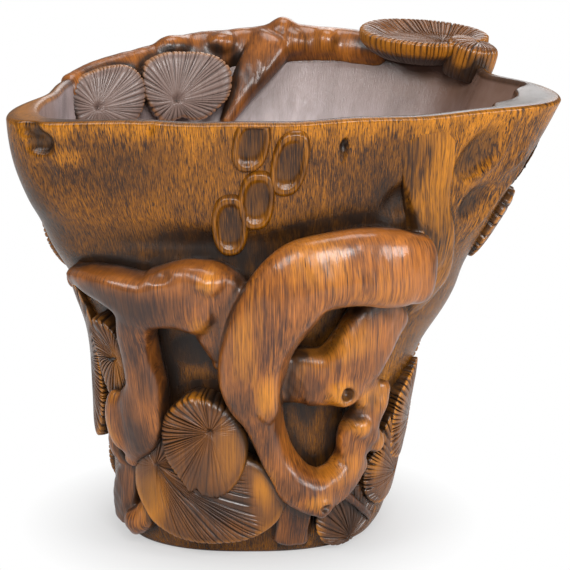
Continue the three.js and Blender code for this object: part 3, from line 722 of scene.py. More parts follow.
RIM_PADS = {
    "needles_rim_middle": {
        "angle": 127, "rise": 95.5, "lift": -7.5, "across": 10.2, "up": 8.2, "thick": 7.5,
        "facing": (0.2, -0.96, 0.16),
        "outline": (
            (356, 10.2), (17, 10.3), (34, 9.4), (58, 7.8), (94, 7), (133, 8.9), (152, 10.3), (169, 10.6),
            (189, 10.5), (209, 10), (227, 10.2), (239, 10.2), (252, 8.5), (262, 7.7), (276, 8.4),
            (293, 8.9), (320, 9.1), (339, 9.9),
        ),
        "eye": (-0.27, -0.46), "deep": 1, "fade": (0.15, 0.7),
    },
    "needles_rim_left": {
        "angle": 151.4, "rise": 94.8, "lift": -3, "across": 10.4, "up": 7.4, "thick": 7,
        "facing": (0.46, -0.87, 0.14),
        "outline": (
            (347, 8.4), (18, 8.6), (45, 8), (85, 6.4), (125, 6.8), (153, 8.8), (169, 10.1), (181, 10.5),
            (196, 10.1), (217, 9.9), (252, 8), (297, 8.2), (325, 8.4),
        ),
        "eye": (-0.37, -0.35), "deep": 0.9, "fade": (0.15, 0.7),
    },
    "needles_rim_right": {
        "angle": 43.5, "rise": 104.2, "lift": -5.2, "across": 14.4, "up": 10.2, "thick": 6.6, "lip": 0.14,
        "facing": (0.06, -0.14, 0.98), "eye": (0.3, -0.1), "dish": 2.4, "brim": 0.5, "deep": 1,
        "taper": 0.3,
    },
    "needles_rim_right_low": {
        "angle": 27, "rise": 102, "lift": -2.6, "across": 5.8, "up": 5.2, "thick": 8.6,
        "facing": (0.25, -0.12, 0.96), "eye": (0.2, 0.1), "taper": 0.12,
    },
}

SCALES = {
    "bark_scale_1": {"angle": 262.6, "rise": 94.5, "across": 3.7, "up": 5.6},
    "bark_scale_2": {"angle": 275.3, "rise": 90.5, "across": 3.7, "up": 6.8},
    "bark_scale_3": {"angle": 267.2, "rise": 82.5, "across": 3.6, "up": 6.2},
    "bark_scale_4": {"angle": 259.4, "rise": 77, "across": 3.6, "up": 6.5},
}
SCALE_THICKNESS = 1.1
SCALE_TURN = 4

# Shallow dents and swellings of the wall: angle, rise, half width, half height, how far out, tilt in
# degrees and how crisp the border is.
WALL_RELIEF = (
    (309, 82, 2.8, 3.8, -1.5, -12, 1.3),
    (330.4, 80, 2.6, 3.6, -1.5, -10, 2),
    (325.2, 91.3, 3.4, 5.8, -1.5, -18, 2),
    (329.4, 96, 0.8, 3, 0.7, -8, 1.2),
    (330, 91.4, 0.8, 3, 0.7, -4, 1.2),
    (329.3, 87.8, 0.8, 2.2, 0.6, -30, 1.2),
    (327.4, 85.6, 0.8, 2, 0.5, -50, 1.2),
    (336.5, 77.5, 1.2, 5, 1, -12, 1.3),
    (335.6, 89, 2.2, 3, 0.7, 0, 2),
    (335.6, 89, 0.8, 1.5, -1, 0, 2),
    (339.5, 84, 1, 4, 0.6, -15, 1.3),
    (358, 54, 18, 9, 3.2, 0, 1.2),
    (0, 70, 14, 6, 1.3, 0, 1.2),
    (289.7, 94.6, 0.7, 1.2, -1.2, 0, 1.5),
    (290.2, 92.6, 0.5, 1.6, -0.7, 0, 1.5),
    (270, 71, 26, 4, -1.1, 0, 1.5),
    (232, 74, 22, 4, -0.9, 0, 1.5),
    (214.8, 94, 2.4, 2.2, -1.8, 40, 2),
    (213, 97, 2.2, 1.8, -1.4, -20, 2),
    (215, 87, 2, 3, -0.8, 0, 2),
    (235, 98, 0.6, 1.4, -0.5, 0, 1),
)
# Dark wax and painted shadows on the wall: angle, rise, half width in degrees, half height in percent, share.
WALL_WAX_AND_SHADOWS = (
    (238, 70.5, 26, 4, 0.35),
    (262, 70.5, 12, 6, 0.5),
    (292, 38, 5, 9, 0.7),
    (309, 82, 2, 3, 0.3),
    (244, 48, 10, 4, 0.8),
    (292, 42, 13, 14, 0.35),
    (270, 10, 60, 12, 0.25),
    (210, 35, 20, 30, 0.4),
)


# Worn amber places, and dark brown ones below zero, some of them painted highlights and painted shade:
# angle, rise, half width in degrees, half height in percent, strength.
TONES_AND_PAINTED_LIGHT = (
    (266, 55.1, 4.5, 13.7, 0.6),
    (273, 41.1, 3.2, 5.1, 0.9),
    (292, 15.3, 4.7, 2.1, 0.9),
    (297, 40.5, 3.8, 2.8, 0.8),
    (292, 39.2, 7.5, 2.8, 0.4),
    (305, 31.7, 3.2, 1.9, 0.8),
    (306, 38.1, 2.5, 2.9, 0.7),
    (312, 37.9, 3.1, 3.9, 0.5),
    (316, 27.1, 2.6, 2.9, 0.5),
    (256, 66.3, 2.6, 2.7, 0.8),
    (253, 55.9, 3.4, 2.3, 0.7),
    (218, 27.2, 3.3, 5.8, 0.8),
    (230, 51.4, 3.3, 9.7, 0.2),
    (220, 65, 6, 1.5, 0.2),
    (246, 64, 4, 1.6, 0.2),
    (305, 67.1, 7.5, 5.6, 0.1),
    (261, 27.3, 4.9, 9, 0.4),
    (274, 17.5, 4.4, 7, 0.9),
    (231, 13.4, 6.6, 6.5, 0.95),
    (221, 42.7, 3.6, 7.4, 0.8),
    (220, 90.8, 2.7, 2, 0.9),
    (300, 6.2, 2.6, 4.5, 0.7),
    (90, 93, 15, 11, -0.75),
    (78, 104, 14, 5, 0.25),
    (46, 101, 14, 3, 0.4),
    (266, 39.2, 3.8, 4.2, -0.7),
    (287, 47, 7, 6, 0.45),
    (232, 28.1, 5.2, 4.7, -0.6),
    (235, 41.2, 2.7, 7.1, -0.4),
    (264, 62.5, 3.4, 4.5, -0.5),
    (250, 62.2, 3.8, 2.7, -0.3),
    (262, 39.6, 1.9, 7, -0.3),
    (287, 20.2, 7.1, 3.3, -0.25),
    (227, 45, 9, 16, -0.4),
    (228, 59.5, 15, 5, -1.1),
    (212, 12, 7, 9, -0.7),
    (292, 7, 9, 8, -0.5),
    (238, 41.5, 3, 10, -0.35),
    (234, 68, 18, 2, -0.5),
    (261, 13.6, 14, 4, -0.9),
    (251, 22, 4, 7, -0.35),
    (246, 33, 4, 5, -0.3),
    (322, 36, 6, 8, 0.7),
    (320, 22, 4, 7, 0.7),
    (314, 8, 11, 9, -0.8),
    (298, 60, 10, 10, 0.25),
    (322, 88, 9, 11, 0.3),
    (330, 22, 10, 14, 0.1),
    (247, 50.5, 5, 5, -0.7),
    (227, 89, 12, 7, -0.5),
    (302, 89, 10, 8, -0.5),
    (267, 84, 8, 9, 0.3),
    (207, 76, 7, 12, -0.8),
    (284, 71.7, 8, 6, 0.6),
    (227, 28, 5, 9.5, -0.6),
    (243, 60, 6, 4, -0.45),
    (231, 50, 4, 5, -0.45),
    (101, 98.5, 8, 5, -0.45),
    (266, 18, 4, 4, -0.3),
    (275, 31, 3.6, 9, -0.5),
    (283, 19, 6, 4, -0.25),
    (304, 82.5, 3.4, 4.5, -0.7),
    (289, 39, 3, 6, -0.8),
    (296, 51.5, 9.5, 4, 0.6),
    (242, 35.6, 10, 5, 0.2),
    (299, 21.8, 13, 4, 0.45),
    (208, 42, 10, 8.5, 0.4),
    (329, 36, 7.5, 8.7, 0.45),
    (336, 75.4, 6, 6, 0.3),
)


TONE_AND_LIGHT_CRISPNESS = 1.4
WAX_AND_SHADOW_CRISPNESS = 1.5


def spot(angle, rise, place, crispness):
    """1 in the middle of an oval spot on the wall, fading to 0 past its border."""
    centre, height, degrees, percent = place
    away = (turn_between(angle, centre) / degrees) ** 2 + ((rise - height) / percent) ** 2
    return np.exp(-(away**crispness))


def tone_and_light_mark(wall, corners):
    """From -1 at a dark place to 1 at a worn amber one. Some of these places are painted shade and painted
    highlights.
    """
    angle, _ = wall.polar(corners)
    rise = 100 * corners[:, 2] / wall.height
    total = np.zeros(len(corners))
    for *place, strength in TONES_AND_PAINTED_LIGHT:
        total += strength * spot(angle, rise, place, TONE_AND_LIGHT_CRISPNESS)
    return np.clip(total, -1, 1)


def wax_and_shadow_mark(angle, rise):
    """The share of dark wax and painted shadow on the outside of the wall."""
    total = np.zeros(len(angle))
    for *place, share in WALL_WAX_AND_SHADOWS:
        total = np.maximum(total, share * spot(angle, rise, place, WAX_AND_SHADOW_CRISPNESS))
    return total


# Meshes


def make_object(name, corners, faces, material, marks=None):
    """An object with its place in its mesh, from corners in millimetres and arrays of faces."""
    mesh = bpy.data.meshes.new(name)
    corners = np.asarray(corners, float) * MM
    loops = np.concatenate([group.ravel() for group in faces])
    sides = np.concatenate([np.full(len(group), group.shape[1]) for group in faces])
    starts = np.concatenate([[0], np.cumsum(sides)[:-1]])
    mesh.vertices.add(len(corners))
    mesh.vertices.foreach_set("co", corners.astype(np.float32).ravel())
    mesh.loops.add(len(loops))
    mesh.loops.foreach_set("vertex_index", loops.astype(np.int32))
    mesh.polygons.add(len(sides))
    mesh.polygons.foreach_set("loop_start", starts.astype(np.int32))
    mesh.polygons.foreach_set("loop_total", sides.astype(np.int32))
    mesh.polygons.foreach_set("use_smooth", np.ones(len(sides), bool))
    mesh.update(calc_edges=True)
    mesh.validate()
    for mark, values in (marks or {}).items():
        attribute = mesh.attributes.new(mark, "FLOAT", "POINT")
        attribute.data.foreach_set("value", np.asarray(values, np.float32))
    mesh.materials.append(material)
    piece = bpy.data.objects.new(name, mesh)
    bpy.context.scene.collection.objects.link(piece)
    return piece


def place_piece(piece, node):
    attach(piece, "root")
    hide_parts(node)


def surface_net(values, low, step):
    """Corners and four-sided faces of the surface where a grid of values crosses zero."""
    shape = np.array(values.shape)
    cells = shape - 1
    count = np.zeros(cells.prod())
    total = np.zeros((cells.prod(), 3))
    crossings = []
    for axis in range(3):
        first = np.take(values, range(shape[axis] - 1), axis)
        second = np.take(values, range(1, shape[axis]), axis)
        index = np.argwhere((first < 0) != (second < 0))
        a, b = first[tuple(index.T)], second[tuple(index.T)]
        point = index.astype(float)
        point[:, axis] += a / (a - b)
        u, v = (axis + 1) % 3, (axis + 2) % 3
        corner = []
        for du, dv in ((-1, -1), (0, -1), (0, 0), (-1, 0)):
            cell = index.copy()
            cell[:, u] += du
            cell[:, v] += dv
            flat = np.ravel_multi_index(tuple(cell.T), tuple(cells), mode="clip")
            corner.append(flat)
            count += np.bincount(flat, minlength=len(count))
            for k in range(3):
                total[:, k] += np.bincount(flat, weights=point[:, k], minlength=len(count))
        quads = np.stack(corner, -1)
        crossings.append(np.where((a < 0)[:, None], quads, quads[:, ::-1]))
    faces = np.concatenate(crossings)
    used = np.nonzero(count)[0]
    number = np.zeros(len(count), np.int64)
    number[used] = np.arange(len(used))
    corners = total[used] / count[used, None] * step + low
    return corners, number[faces]


def in_chunks(function, points, size=60000):
    return np.concatenate([function(points[i : i + size]) for i in range(0, len(points), size)])


# How many blocks' diagonals from the surface a block's corner may be for the block to be filled in.
BLOCK_REACH = 1.15


def carve(field, low, high, step, block=4):
    """The surface field = 0 in a box. Only blocks that a coarse look finds near it are filled in."""
    counts = np.ceil((high - low) / (step * block)).astype(int) + 1
    axes = [low[k] + np.arange(counts[k]) * step * block for k in range(3)]
    coarse = np.stack(np.meshgrid(*axes, indexing="ij"), -1).reshape(-1, 3)
    rough = in_chunks(field, coarse).reshape(counts)
    reach = BLOCK_REACH * step * block * math.sqrt(3)
    near = np.zeros(counts - 1, bool)
    for dx, dy, dz in np.ndindex(2, 2, 2):
        part = rough[dx : counts[0] - 1 + dx, dy : counts[1] - 1 + dy, dz : counts[2] - 1 + dz]
        near |= np.abs(part) < reach
    nodes = [np.arange((count - 1) * block + 1) for count in counts]
    nearest = [np.minimum((nodes[k] + block // 2) // block, counts[k] - 1) for k in range(3)]
    values = rough[np.ix_(*nearest)]
    near_fine = np.zeros(values.shape, bool)
    for ends in np.ndindex(2, 2, 2):
        blocks = [np.clip((nodes[k] - ends[k]) // block, 0, counts[k] - 2) for k in range(3)]
        near_fine |= near[np.ix_(*blocks)]
    values[near_fine] = in_chunks(field, low + np.argwhere(near_fine) * step)
    values[0], values[-1] = step, step
    values[:, 0], values[:, -1] = step, step
    values[:, :, 0], values[:, :, -1] = step, step
    return surface_net(values, low, step)


def vertex_normals(corners, quads):
    across = corners[quads[:, 2]] - corners[quads[:, 0]]
    down = corners[quads[:, 3]] - corners[quads[:, 1]]
    face = np.cross(across, down)
    total = np.zeros_like(corners)
    for k in range(4):
        for axis in range(3):
            total[:, axis] += np.bincount(quads[:, k], weights=face[:, axis], minlength=len(corners))
    return unit(total)


# The whole carving, for how the pieces run together and where dark wax and painted shade go


# How far from a part's box its surface is still looked for.
RECESS_MARGIN = 6
FILLET_MARGIN = 5
# How far off a surface its recesses are looked for, and the weight of each look, for dark wax and painted
# shade.
RECESS_LOOKS = ((1.2, 0.28), (2.8, 0.3), (5.5, 0.27), (9, 0.15))
# How far under a surface its thin edges are looked for, and the weight of each look, for wear and a painted
# glow.
EDGE_LOOKS = ((1.8, 0.5), (4, 0.6))


def near_box(parts, low, high, margin):
    """The parts that come within a margin of a box."""
    return [p for p in parts if np.all(p.low - margin < high) and np.all(p.high + margin > low)]


def near_part(points, part, margin):
    """Which points lie within a margin of a part's box."""
    return np.all((points > part.low - margin) & (points < part.high + margin), axis=1)


class Carving:
    """The wall, the elements of the tree, and a rough lump for each pad."""

    def __init__(self):
        self.wall = Wall()
        self.forms = {name: Form(self.wall, spec) for name, spec in WOOD.items()}
        self.pads = [self.pad_lump(spec) for spec in WALL_PADS.values()]
        self.pads += [self.rim_pad_lump(spec) for spec in RIM_PADS.values()]

    def pad_lump(self, spec):
        thick = spec["thick"] + spec.get("lift", 0)
        across, up = spec["across"] * 0.98, spec["up"] * 0.98
        place = (spec["angle"], spec["rise"], thick * 0.4, across, up, thick * 0.6)
        return Knob(self.wall, place, spec.get("turn", 0), 2.6)

    def rim_pad_lump(self, spec):
        half = (spec["across"], spec["up"], spec["thick"] * 0.45)
        knob = Knob(self.wall, (spec["angle"], spec["rise"], spec["lift"], *half), 0, 2.4)
        knob.axes = np.stack(rim_pad_axes(spec), -1)
        return knob

    def everything(self, low, high):
        """Distance to all that is near a box, to find its recesses."""
        parts = near_box([*self.forms.values(), *self.pads], low, high, RECESS_MARGIN)

        def distance(points):
            total = self.wall.shell(points)
            for part in parts:
                close = near_part(points, part, RECESS_MARGIN)
                if close.any():
                    total[close] = np.minimum(total[close], part.distance(points[close]))
            return total

        return distance

    def wax_and_shade_mark(self, corners, normals):
        """Dark wax and painted shade, from 0 in the open to 1 deep in a recess."""
        distance = self.everything(corners.min(0), corners.max(0))
        shade = np.zeros(len(corners))
        for away, weight in RECESS_LOOKS:
            free = in_chunks(distance, corners + normals * away)
            shade += weight * np.clip(1 - free / away, 0, 1)
        return shade


def wear_and_glow_mark(corners, normals, field):
    """From 0 on a broad face to 1 on a thin edge or knot: wear and a painted glow of light through thin horn.
    """
    return sum(
        weight * np.clip(1 + in_chunks(field, corners - normals * depth) / depth, 0, 1)
        for depth, weight in EDGE_LOOKS
    )


# How an element's skin dives under what it joins: everywhere, past its neighbours and past the wall.
DIVE = 0.045
NEIGHBOUR_DIVE = 0.22
WALL_DIVE = 0.35
# How far an element reaches into its neighbours, along the wall's fillet and into the wall.
NEIGHBOUR_REACH = 1.1
FILLET_REACH = 0.5
WALL_REACH = 0.9
FAR_AWAY = 50.0


def carve_form(carving, name, material, step):
    """One element of the tree, run into its neighbours and the wall with soft fillets."""
    fillet, wall_fillet = sizes().fillet / MM, sizes().wall_fillet / MM
    form = carving.forms[name]
    margin = 3.0
    low, high = form.low - margin, form.high + margin
    others = [part for part in near_box(carving.forms.values(), low, high, margin) if part is not form]

    def field(points):
        own = form.distance(points)
        total, rest = own.copy(), np.full(len(points), FAR_AWAY)
        for other in others:
            close = near_part(points, other, FILLET_MARGIN)
            if close.any():
                distance = other.distance(points[close])
                rest[close] = np.minimum(rest[close], distance)
                total[close] = smooth_min(total[close], distance, fillet)
        shell = carving.wall.shell(points)
        total = smooth_min(total, shell, wall_fillet)
        past = np.clip(own - rest, 0, 2)
        past_wall = np.clip(own - shell, 0, 2)
        dive = DIVE + NEIGHBOUR_DIVE * past**2 + WALL_DIVE * past_wall**2
        body = np.maximum(total + dive, own - rest - NEIGHBOUR_REACH)
        body = np.maximum(body, own - FILLET_REACH - wall_fillet)
        return np.maximum(body, -shell - WALL_REACH)

    corners, faces = carve(field, low, high, step)
    normals = vertex_normals(corners, faces)
    # Marks for dark wax and painted shade in recesses, for wear and a painted glow on thin edges and knots,
    # and for tones with painted light.
    marks = {
        "hollow": carving.wax_and_shade_mark(corners, normals),
        "edge": wear_and_glow_mark(corners, normals, form.distance),
        "tint": tone_and_light_mark(carving.wall, corners),
    }
    piece = make_object(f"{name}_carved", corners, [faces], material, marks)
    place_piece(piece, name)


# Needle pads


def rim_pad_axes(spec):
    out = unit(np.array(spec["facing"], float))
    helper = np.array([0.0, 1.0, 0.0]) if abs(out[2]) > 0.8 else np.array([0.0, 0.0, 1.0])
    side = unit(np.cross(helper, out))
    return side, np.cross(out, side), out


# The thinnest that a leaning pad gets, and how near it may come to the foot and to the rim.
THINNEST_PAD = 0.8
OVER_FOOT = 1.2
UNDER_RIM = 1.6


def wall_pad_place(wall, spec):
    """A function from a pad's own millimetres to its place on the wall."""
    angle, z = float(spec["angle"]), wall.height * spec["rise"] / 100
    ahead = wall.outside(np.array(angle + 1), np.array(z)) - wall.outside(np.array(angle), np.array(z))
    per_millimetre = 1 / np.linalg.norm(ahead)
    normal = wall.normal(np.array(angle), np.array(z))
    climb = math.hypot(normal[0], normal[1])
    turn = math.radians(spec.get("turn", 0))

    def place(p, q, swell):
        x = p * math.cos(turn) - q * math.sin(turn)
        y = p * math.sin(turn) + q * math.cos(turn)
        raised = spec.get("lift", 0) + spec.get("lean", 0) * x + spec.get("pitch", 0) * y
        top = np.maximum(spec["thick"] + raised, THINNEST_PAD)
        height = np.clip(z + y * climb, OVER_FOOT, wall.height - UNDER_RIM)
        stand = np.where(swell > 0, top * swell, swell)
        return wall.point(angle + x * per_millimetre, 100 * height / wall.height, stand)

    return place


def rim_pad_place(wall, spec):
    side, high, out = rim_pad_axes(spec)
    middle = wall.point(spec["angle"], spec["rise"], spec["lift"])

    def place(p, q, swell):
        away = spec["thick"] * (np.clip(swell, 0, 2) - 0.5)
        return middle + p[..., None] * side + q[..., None] * high + away[..., None] * out

    return place


def pad_edge(spec, spin):
    """Distance from a pad's middle to its edge, from its outline or as a lobed oval."""
    if "outline" in spec:
        points = sorted((angle % 360, reach) for angle, reach in spec["outline"])
        given = np.array([(angle + turn, reach) for turn in (-360, 0, 360) for angle, reach in points])
        return smooth_curve(given[:, 0], given[:, 1], np.degrees(spin) % 360)
    lobes = 1 + spec.get("lobes", 0.02) * (np.sin(3 * spin + 0.7) + 0.6 * np.sin(5 * spin + 2.1))
    return lobes / np.hypot(np.cos(spin) / spec["across"], np.sin(spin) / spec["up"])


# The steps down a pad's sides. Then the height and groove strength of the rings on its underside,
# for a pad on the wall and for a free one, and the scales of those rings after the first.
SIDE_STEPS = (0, 0.25, 0.5, 0.75, 1)
UNDERSIDE = ((-0.5, 0.0), (-0.5, 0.0))
FREE_UNDERSIDE = ((0.0, 0.3), (0.0, 0.2), (0.0, 0.0))
UNDERSIDE_SCALES = (0.5, 0.2)
# What is left of the grooves on a worn side.
WORN_GROOVES = 0.06


def side_share(spin, centre, spread):
    """1 on one side of a pad, 0 round the rest of it."""
    return np.exp(-((turn_between(np.degrees(spin), centre) / spread) ** 4))


def groove_strength(spec, spin, reach, face):
    """How deep the needles are cut on a pad's face."""
    fade = (0.74, 0.88) if "beaded" in spec else spec.get("fade", (0.0, 0.2))
    strength = (0.2 + 0.8 * smooth_step(*fade, reach))[:, None] * np.ones(len(spin))
    if "cut" in spec:
        *side, rest = spec["cut"]
        strength = strength * (rest + (1 - rest) * side_share(spin, *side))
    if "worn" in spec:
        strength = strength * (1 - (1 - WORN_GROOVES) * side_share(spin, *spec["worn"]))
    if "smooth_right" in spec:
        strength = strength * smooth_step(3, 0, face[..., 0] + 0.5 * face[..., 1] - spec["smooth_right"])
    return strength


def pad_grid(spec, columns, rings, free):
    """Own millimetres, swell, groove strength, share and turn of each corner of a pad's skin."""
    turn = np.linspace(0, 1, columns, endpoint=False)
    first = spec["across"] * 3
    wave = 0.006 * np.sin(2 * np.pi * 7 * turn + first)
    ripple = 0.003 * np.sin(2 * np.pi * 19 * turn)
    spin = 2 * np.pi * (turn + wave + ripple)
    edge = pad_edge(spec, spin)[:, None] * np.stack([np.cos(spin), np.sin(spin)], -1)
    eye = np.array(spec["eye"]) * (spec["across"], spec["up"])
    reach = np.concatenate([np.linspace(0.015, 0.9, rings), [0.94, 0.97, 0.99, 1.0]])
    ray = edge - eye
    uneven = spec.get("bow", 0) + 0.02 * np.sin(5 * spin + first) + 0.012 * np.sin(13 * spin)
    bow = uneven * 4 * (reach * (1 - reach))[:, None]
    face = eye + ray * reach[:, None, None]
    face[..., 1] += bow * np.linalg.norm(ray, axis=1)
    full = pad_edge(spec, np.arctan2(face[..., 1], face[..., 0]))
    share = np.minimum(np.hypot(face[..., 0], face[..., 1]) / full, 1)
    lip = spec.get("lip", 0.22)
    swell = 1 - lip + lip * np.sqrt(np.maximum(1 - share**9, 0)) - 0.05 * share**2
    dimple = np.exp(-((reach / 0.09) ** 2))[:, None]
    dish = spec.get("dish", 0) / spec["thick"] * smooth_step(0.96, spec.get("brim", 0.45), share)
    swell = swell - 0.1 * dimple - dish
    strength = groove_strength(spec, spin, reach, face)
    grid = [face[..., 0], face[..., 1], swell, strength, share]
    foot = 0.95 - lip
    taper = spec.get("taper", 0.04)
    rows = [(1 - taper * t**2, foot * (0.8 - 0.76 * t), 0.8 - 0.5 * t) for t in SIDE_STEPS]
    underside = FREE_UNDERSIDE if free else UNDERSIDE
    rows += [(scale, *row) for scale, row in zip((0.96 - taper, *UNDERSIDE_SCALES), underside)]
    scales, heights, strengths = (np.array(column)[:, None] * np.ones(columns) for column in zip(*rows))
    below = (edge[:, 0] * scales, edge[:, 1] * scales, heights, strengths, scales)
    whole = [np.concatenate([upper, lower]) for upper, lower in zip(grid, below)]
    return *whole, np.broadcast_to(turn, whole[0].shape)


def ring_faces(rows, columns, first_pole, last_pole):
    """Faces of rows of corners that close on themselves, and round their two poles."""
    column = np.arange(columns)
    following = (column + 1) % columns
    start = np.arange(rows - 1)[:, None] * columns
    quads = np.stack(
        [start + column, start + columns + column, start + columns + following, start + following], -1
    ).reshape(-1, 4)
    top = np.stack([np.full(columns, first_pole), column, following], -1)
    base = (rows - 1) * columns
    bottom = np.stack([np.full(columns, last_pole), base + following, base + column], -1)
    return quads, np.concatenate([top, bottom])


def closed_rings(rings):
    """Corners and faces of a closed skin made of rings of corners with a pole at each end."""
    count, columns = rings.shape[:2]
    poles = [rings[0].mean(0), rings[-1].mean(0)]
    corners = np.concatenate([rings.reshape(-1, 3), poles])
    return corners, *ring_faces(count, columns, count * columns, count * columns + 1)


def pad_piece(carving, name, spec, place, material, free=False):
    """A pad whose smooth skin is made here, and whose needles are cut by Geometry Nodes."""
    girth = 2 * math.pi * math.sqrt((spec["across"] ** 2 + spec["up"] ** 2) / 2)
    needle_width = sizes().needle_width / MM
    spacing = needle_width * spec.get("beaded", 1) * spec.get("fine", 1)
    needles = round(girth / spacing)
    columns = needles * round(8 * spacing / needle_width)
    p, q, swell, strength, share, turn = pad_grid(spec, columns, 30, free)
    corners, quads, fans = closed_rings(place(p, q, swell))

    def with_poles(values):
        return np.concatenate([values.ravel(), [values[0].mean(), values[-1].mean()]])

    normals = vertex_normals(corners, quads)
    # Dark wax and painted shade in recesses and down the pad's sides, and a painted glow on its thin edge.
    hollow = carving.wax_and_shade_mark(corners + normals * 0.3, normals) * (0.2 if "dish" in spec else 1)
    marks = {
        "turn": with_poles(turn),
        "strength": with_poles(strength) * spec.get("deep", 1.0),
        "hollow": hollow + 0.8 * smooth_step(0.55, 0.1, with_poles(swell)),
        "edge": smooth_step(0.86, 1.0, with_poles(share)) * (1.5 if "beaded" in spec else 1),
        "tint": tone_and_light_mark(carving.wall, corners),
    }
    blank = make_object(f"{name}_blank", corners, [quads, fans], material, marks)
    modifier = blank.modifiers.new("Needles", "NODES")
    modifier.node_group = needle_tree()
    set_input(modifier, "Needles", needles)
    set_input(modifier, "Depth", sizes().needle_depth)
    set_input(modifier, "Seed", sum(ord(letter) for letter in name) % 97)
    set_input(modifier, "Material", material)
    return realise(blank, f"{name}_carved")


def set_input(modifier, name, value):
    """Sets a modifier's input by the socket's identifier."""
    for item in modifier.node_group.interface.items_tree:
        if item.item_type == "SOCKET" and item.in_out == "INPUT" and item.name == name:
            modifier[item.identifier] = value
            return
    raise ValueError(f"the node tree has no input named {name}")


def realise(blank, name):
    """The evaluated object as a plain mesh, and the blank and its modifier removed."""
    bpy.context.view_layer.update()
    evaluated = blank.evaluated_get(bpy.context.evaluated_depsgraph_get())
    mesh = bpy.data.meshes.new_from_object(evaluated)
    mesh.name = name
    blank.modifiers.clear()
    bpy.data.objects.remove(blank)
    piece = bpy.data.objects.new(name, mesh)
    bpy.context.scene.collection.objects.link(piece)
    return piece


class Nodes:
    """Short ways to add and link nodes in a tree."""

    def __init__(self, tree):
        self.tree = tree

    def add(self, kind, inputs=None, **settings):
        node = self.tree.nodes.new(kind)
        for setting, value in settings.items():
            setattr(node, setting, value)
        for socket, value in (inputs or {}).items():
            self.feed(node.inputs[socket], value)
        return node

    def feed(self, socket, value):
        if isinstance(value, bpy.types.NodeSocket):
            self.tree.links.new(value, socket)
        else:
            socket.default_value = value

    def math(self, operation, first, second=0.0):
        return self.add("ShaderNodeMath", {0: first, 1: second}, operation=operation).outputs[0]

    def plus(self, first, second):
        return self.math("ADD", first, second)

    def minus(self, first, second):
        return self.math("SUBTRACT", first, second)

    def times(self, first, second):
        return self.math("MULTIPLY", first, second)

    def vector(self, *parts):
        return self.add("ShaderNodeCombineXYZ", dict(enumerate(parts))).outputs[0]

    def split(self, vector):
        return self.add("ShaderNodeSeparateXYZ", {0: vector}).outputs

    def span(self, value, low, high, start=0.0, end=1.0):
        limits = {"From Min": low, "From Max": high, "To Min": start, "To Max": end}
        return self.add("ShaderNodeMapRange", {"Value": value, **limits}).outputs["Result"]

    def mix(self, share, first, second):
        colours_in = {0: share, 6: first, 7: second}
        return self.add("ShaderNodeMix", colours_in, data_type="RGBA", clamp_factor=True).outputs[2]


def needle_tree():
    """Cuts V-shaped grooves between needles, from a pad's turn and strength marks."""
    name = "Pine needles"
    if name in bpy.data.node_groups:
        return bpy.data.node_groups[name]
    tree = bpy.data.node_groups.new(name, "GeometryNodeTree")
    for socket, kind in (
        ("Geometry", "NodeSocketGeometry"),
        ("Needles", "NodeSocketInt"),
        ("Depth", "NodeSocketFloat"),
        ("Seed", "NodeSocketInt"),
        ("Material", "NodeSocketMaterial"),
    ):
        tree.interface.new_socket(socket, in_out="INPUT", socket_type=kind)
    tree.interface.new_socket("Geometry", in_out="OUTPUT", socket_type="NodeSocketGeometry")
    n = Nodes(tree)
    given = n.add("NodeGroupInput").outputs
    turn, strength = (
        n.add("GeometryNodeInputNamedAttribute", {"Name": mark}, data_type="FLOAT").outputs[0]
        for mark in ("turn", "strength")
    )
    count = n.times(turn, given["Needles"])
    away = n.math("ABSOLUTE", n.minus(n.times(n.math("FRACT", count), 2.0), 1.0))
    cut = n.math("POWER", away, 2.4)
    half = n.math("ABSOLUTE", n.minus(n.math("FRACT", n.times(count, 2.0)), 0.5))
    border = n.math("MODULO", n.math("FLOOR", n.plus(count, 0.5)), given["Needles"])
    place = n.vector(border, given["Seed"])
    random = n.add("ShaderNodeTexWhiteNoise", {"Vector": place}, noise_dimensions="2D").outputs["Value"]
    uneven = n.span(random, 0.0, 1.0, 0.45, 1.25)
    groove = n.times(n.plus(n.times(cut, uneven), n.times(half, 0.3)), strength)
    amount = n.times(n.times(groove, given["Depth"]), -1.0)
    normal = n.add("GeometryNodeInputNormal").outputs[0]
    offset = n.add("ShaderNodeVectorMath", {0: normal, "Scale": amount}, operation="SCALE").outputs[0]
    moved = n.add("GeometryNodeSetPosition", {"Geometry": given["Geometry"], "Offset": offset}).outputs[0]
    stored = n.add(
        "GeometryNodeStoreNamedAttribute",
        {"Geometry": moved, "Name": "groove", "Value": groove},
        data_type="FLOAT",
        domain="POINT",
    ).outputs[0]
    real = n.add("GeometryNodeRealizeInstances", {0: stored}).outputs[0]
    dressed = n.add("GeometryNodeSetMaterial", {"Geometry": real, "Material": given["Material"]})
    n.add("NodeGroupOutput", {0: dressed.outputs[0]})
    return tree


# A bark scale's section from its middle out: share of its half sizes, share of its thickness.
SCALE_SECTION = (
    (0.05, 0.12), (0.2, 0.13), (0.35, 0.16), (0.48, 0.22), (0.58, 0.34), (0.66, 0.55), (0.72, 0.8),
    (0.77, 0.95), (0.82, 1.0), (0.87, 0.97), (0.91, 0.84), (0.95, 0.6), (0.98, 0.32), (1.0, 0.08),
    (1.02, -0.4), (0.5, -0.6),
)
SCALE_SQUARENESS = 2.5


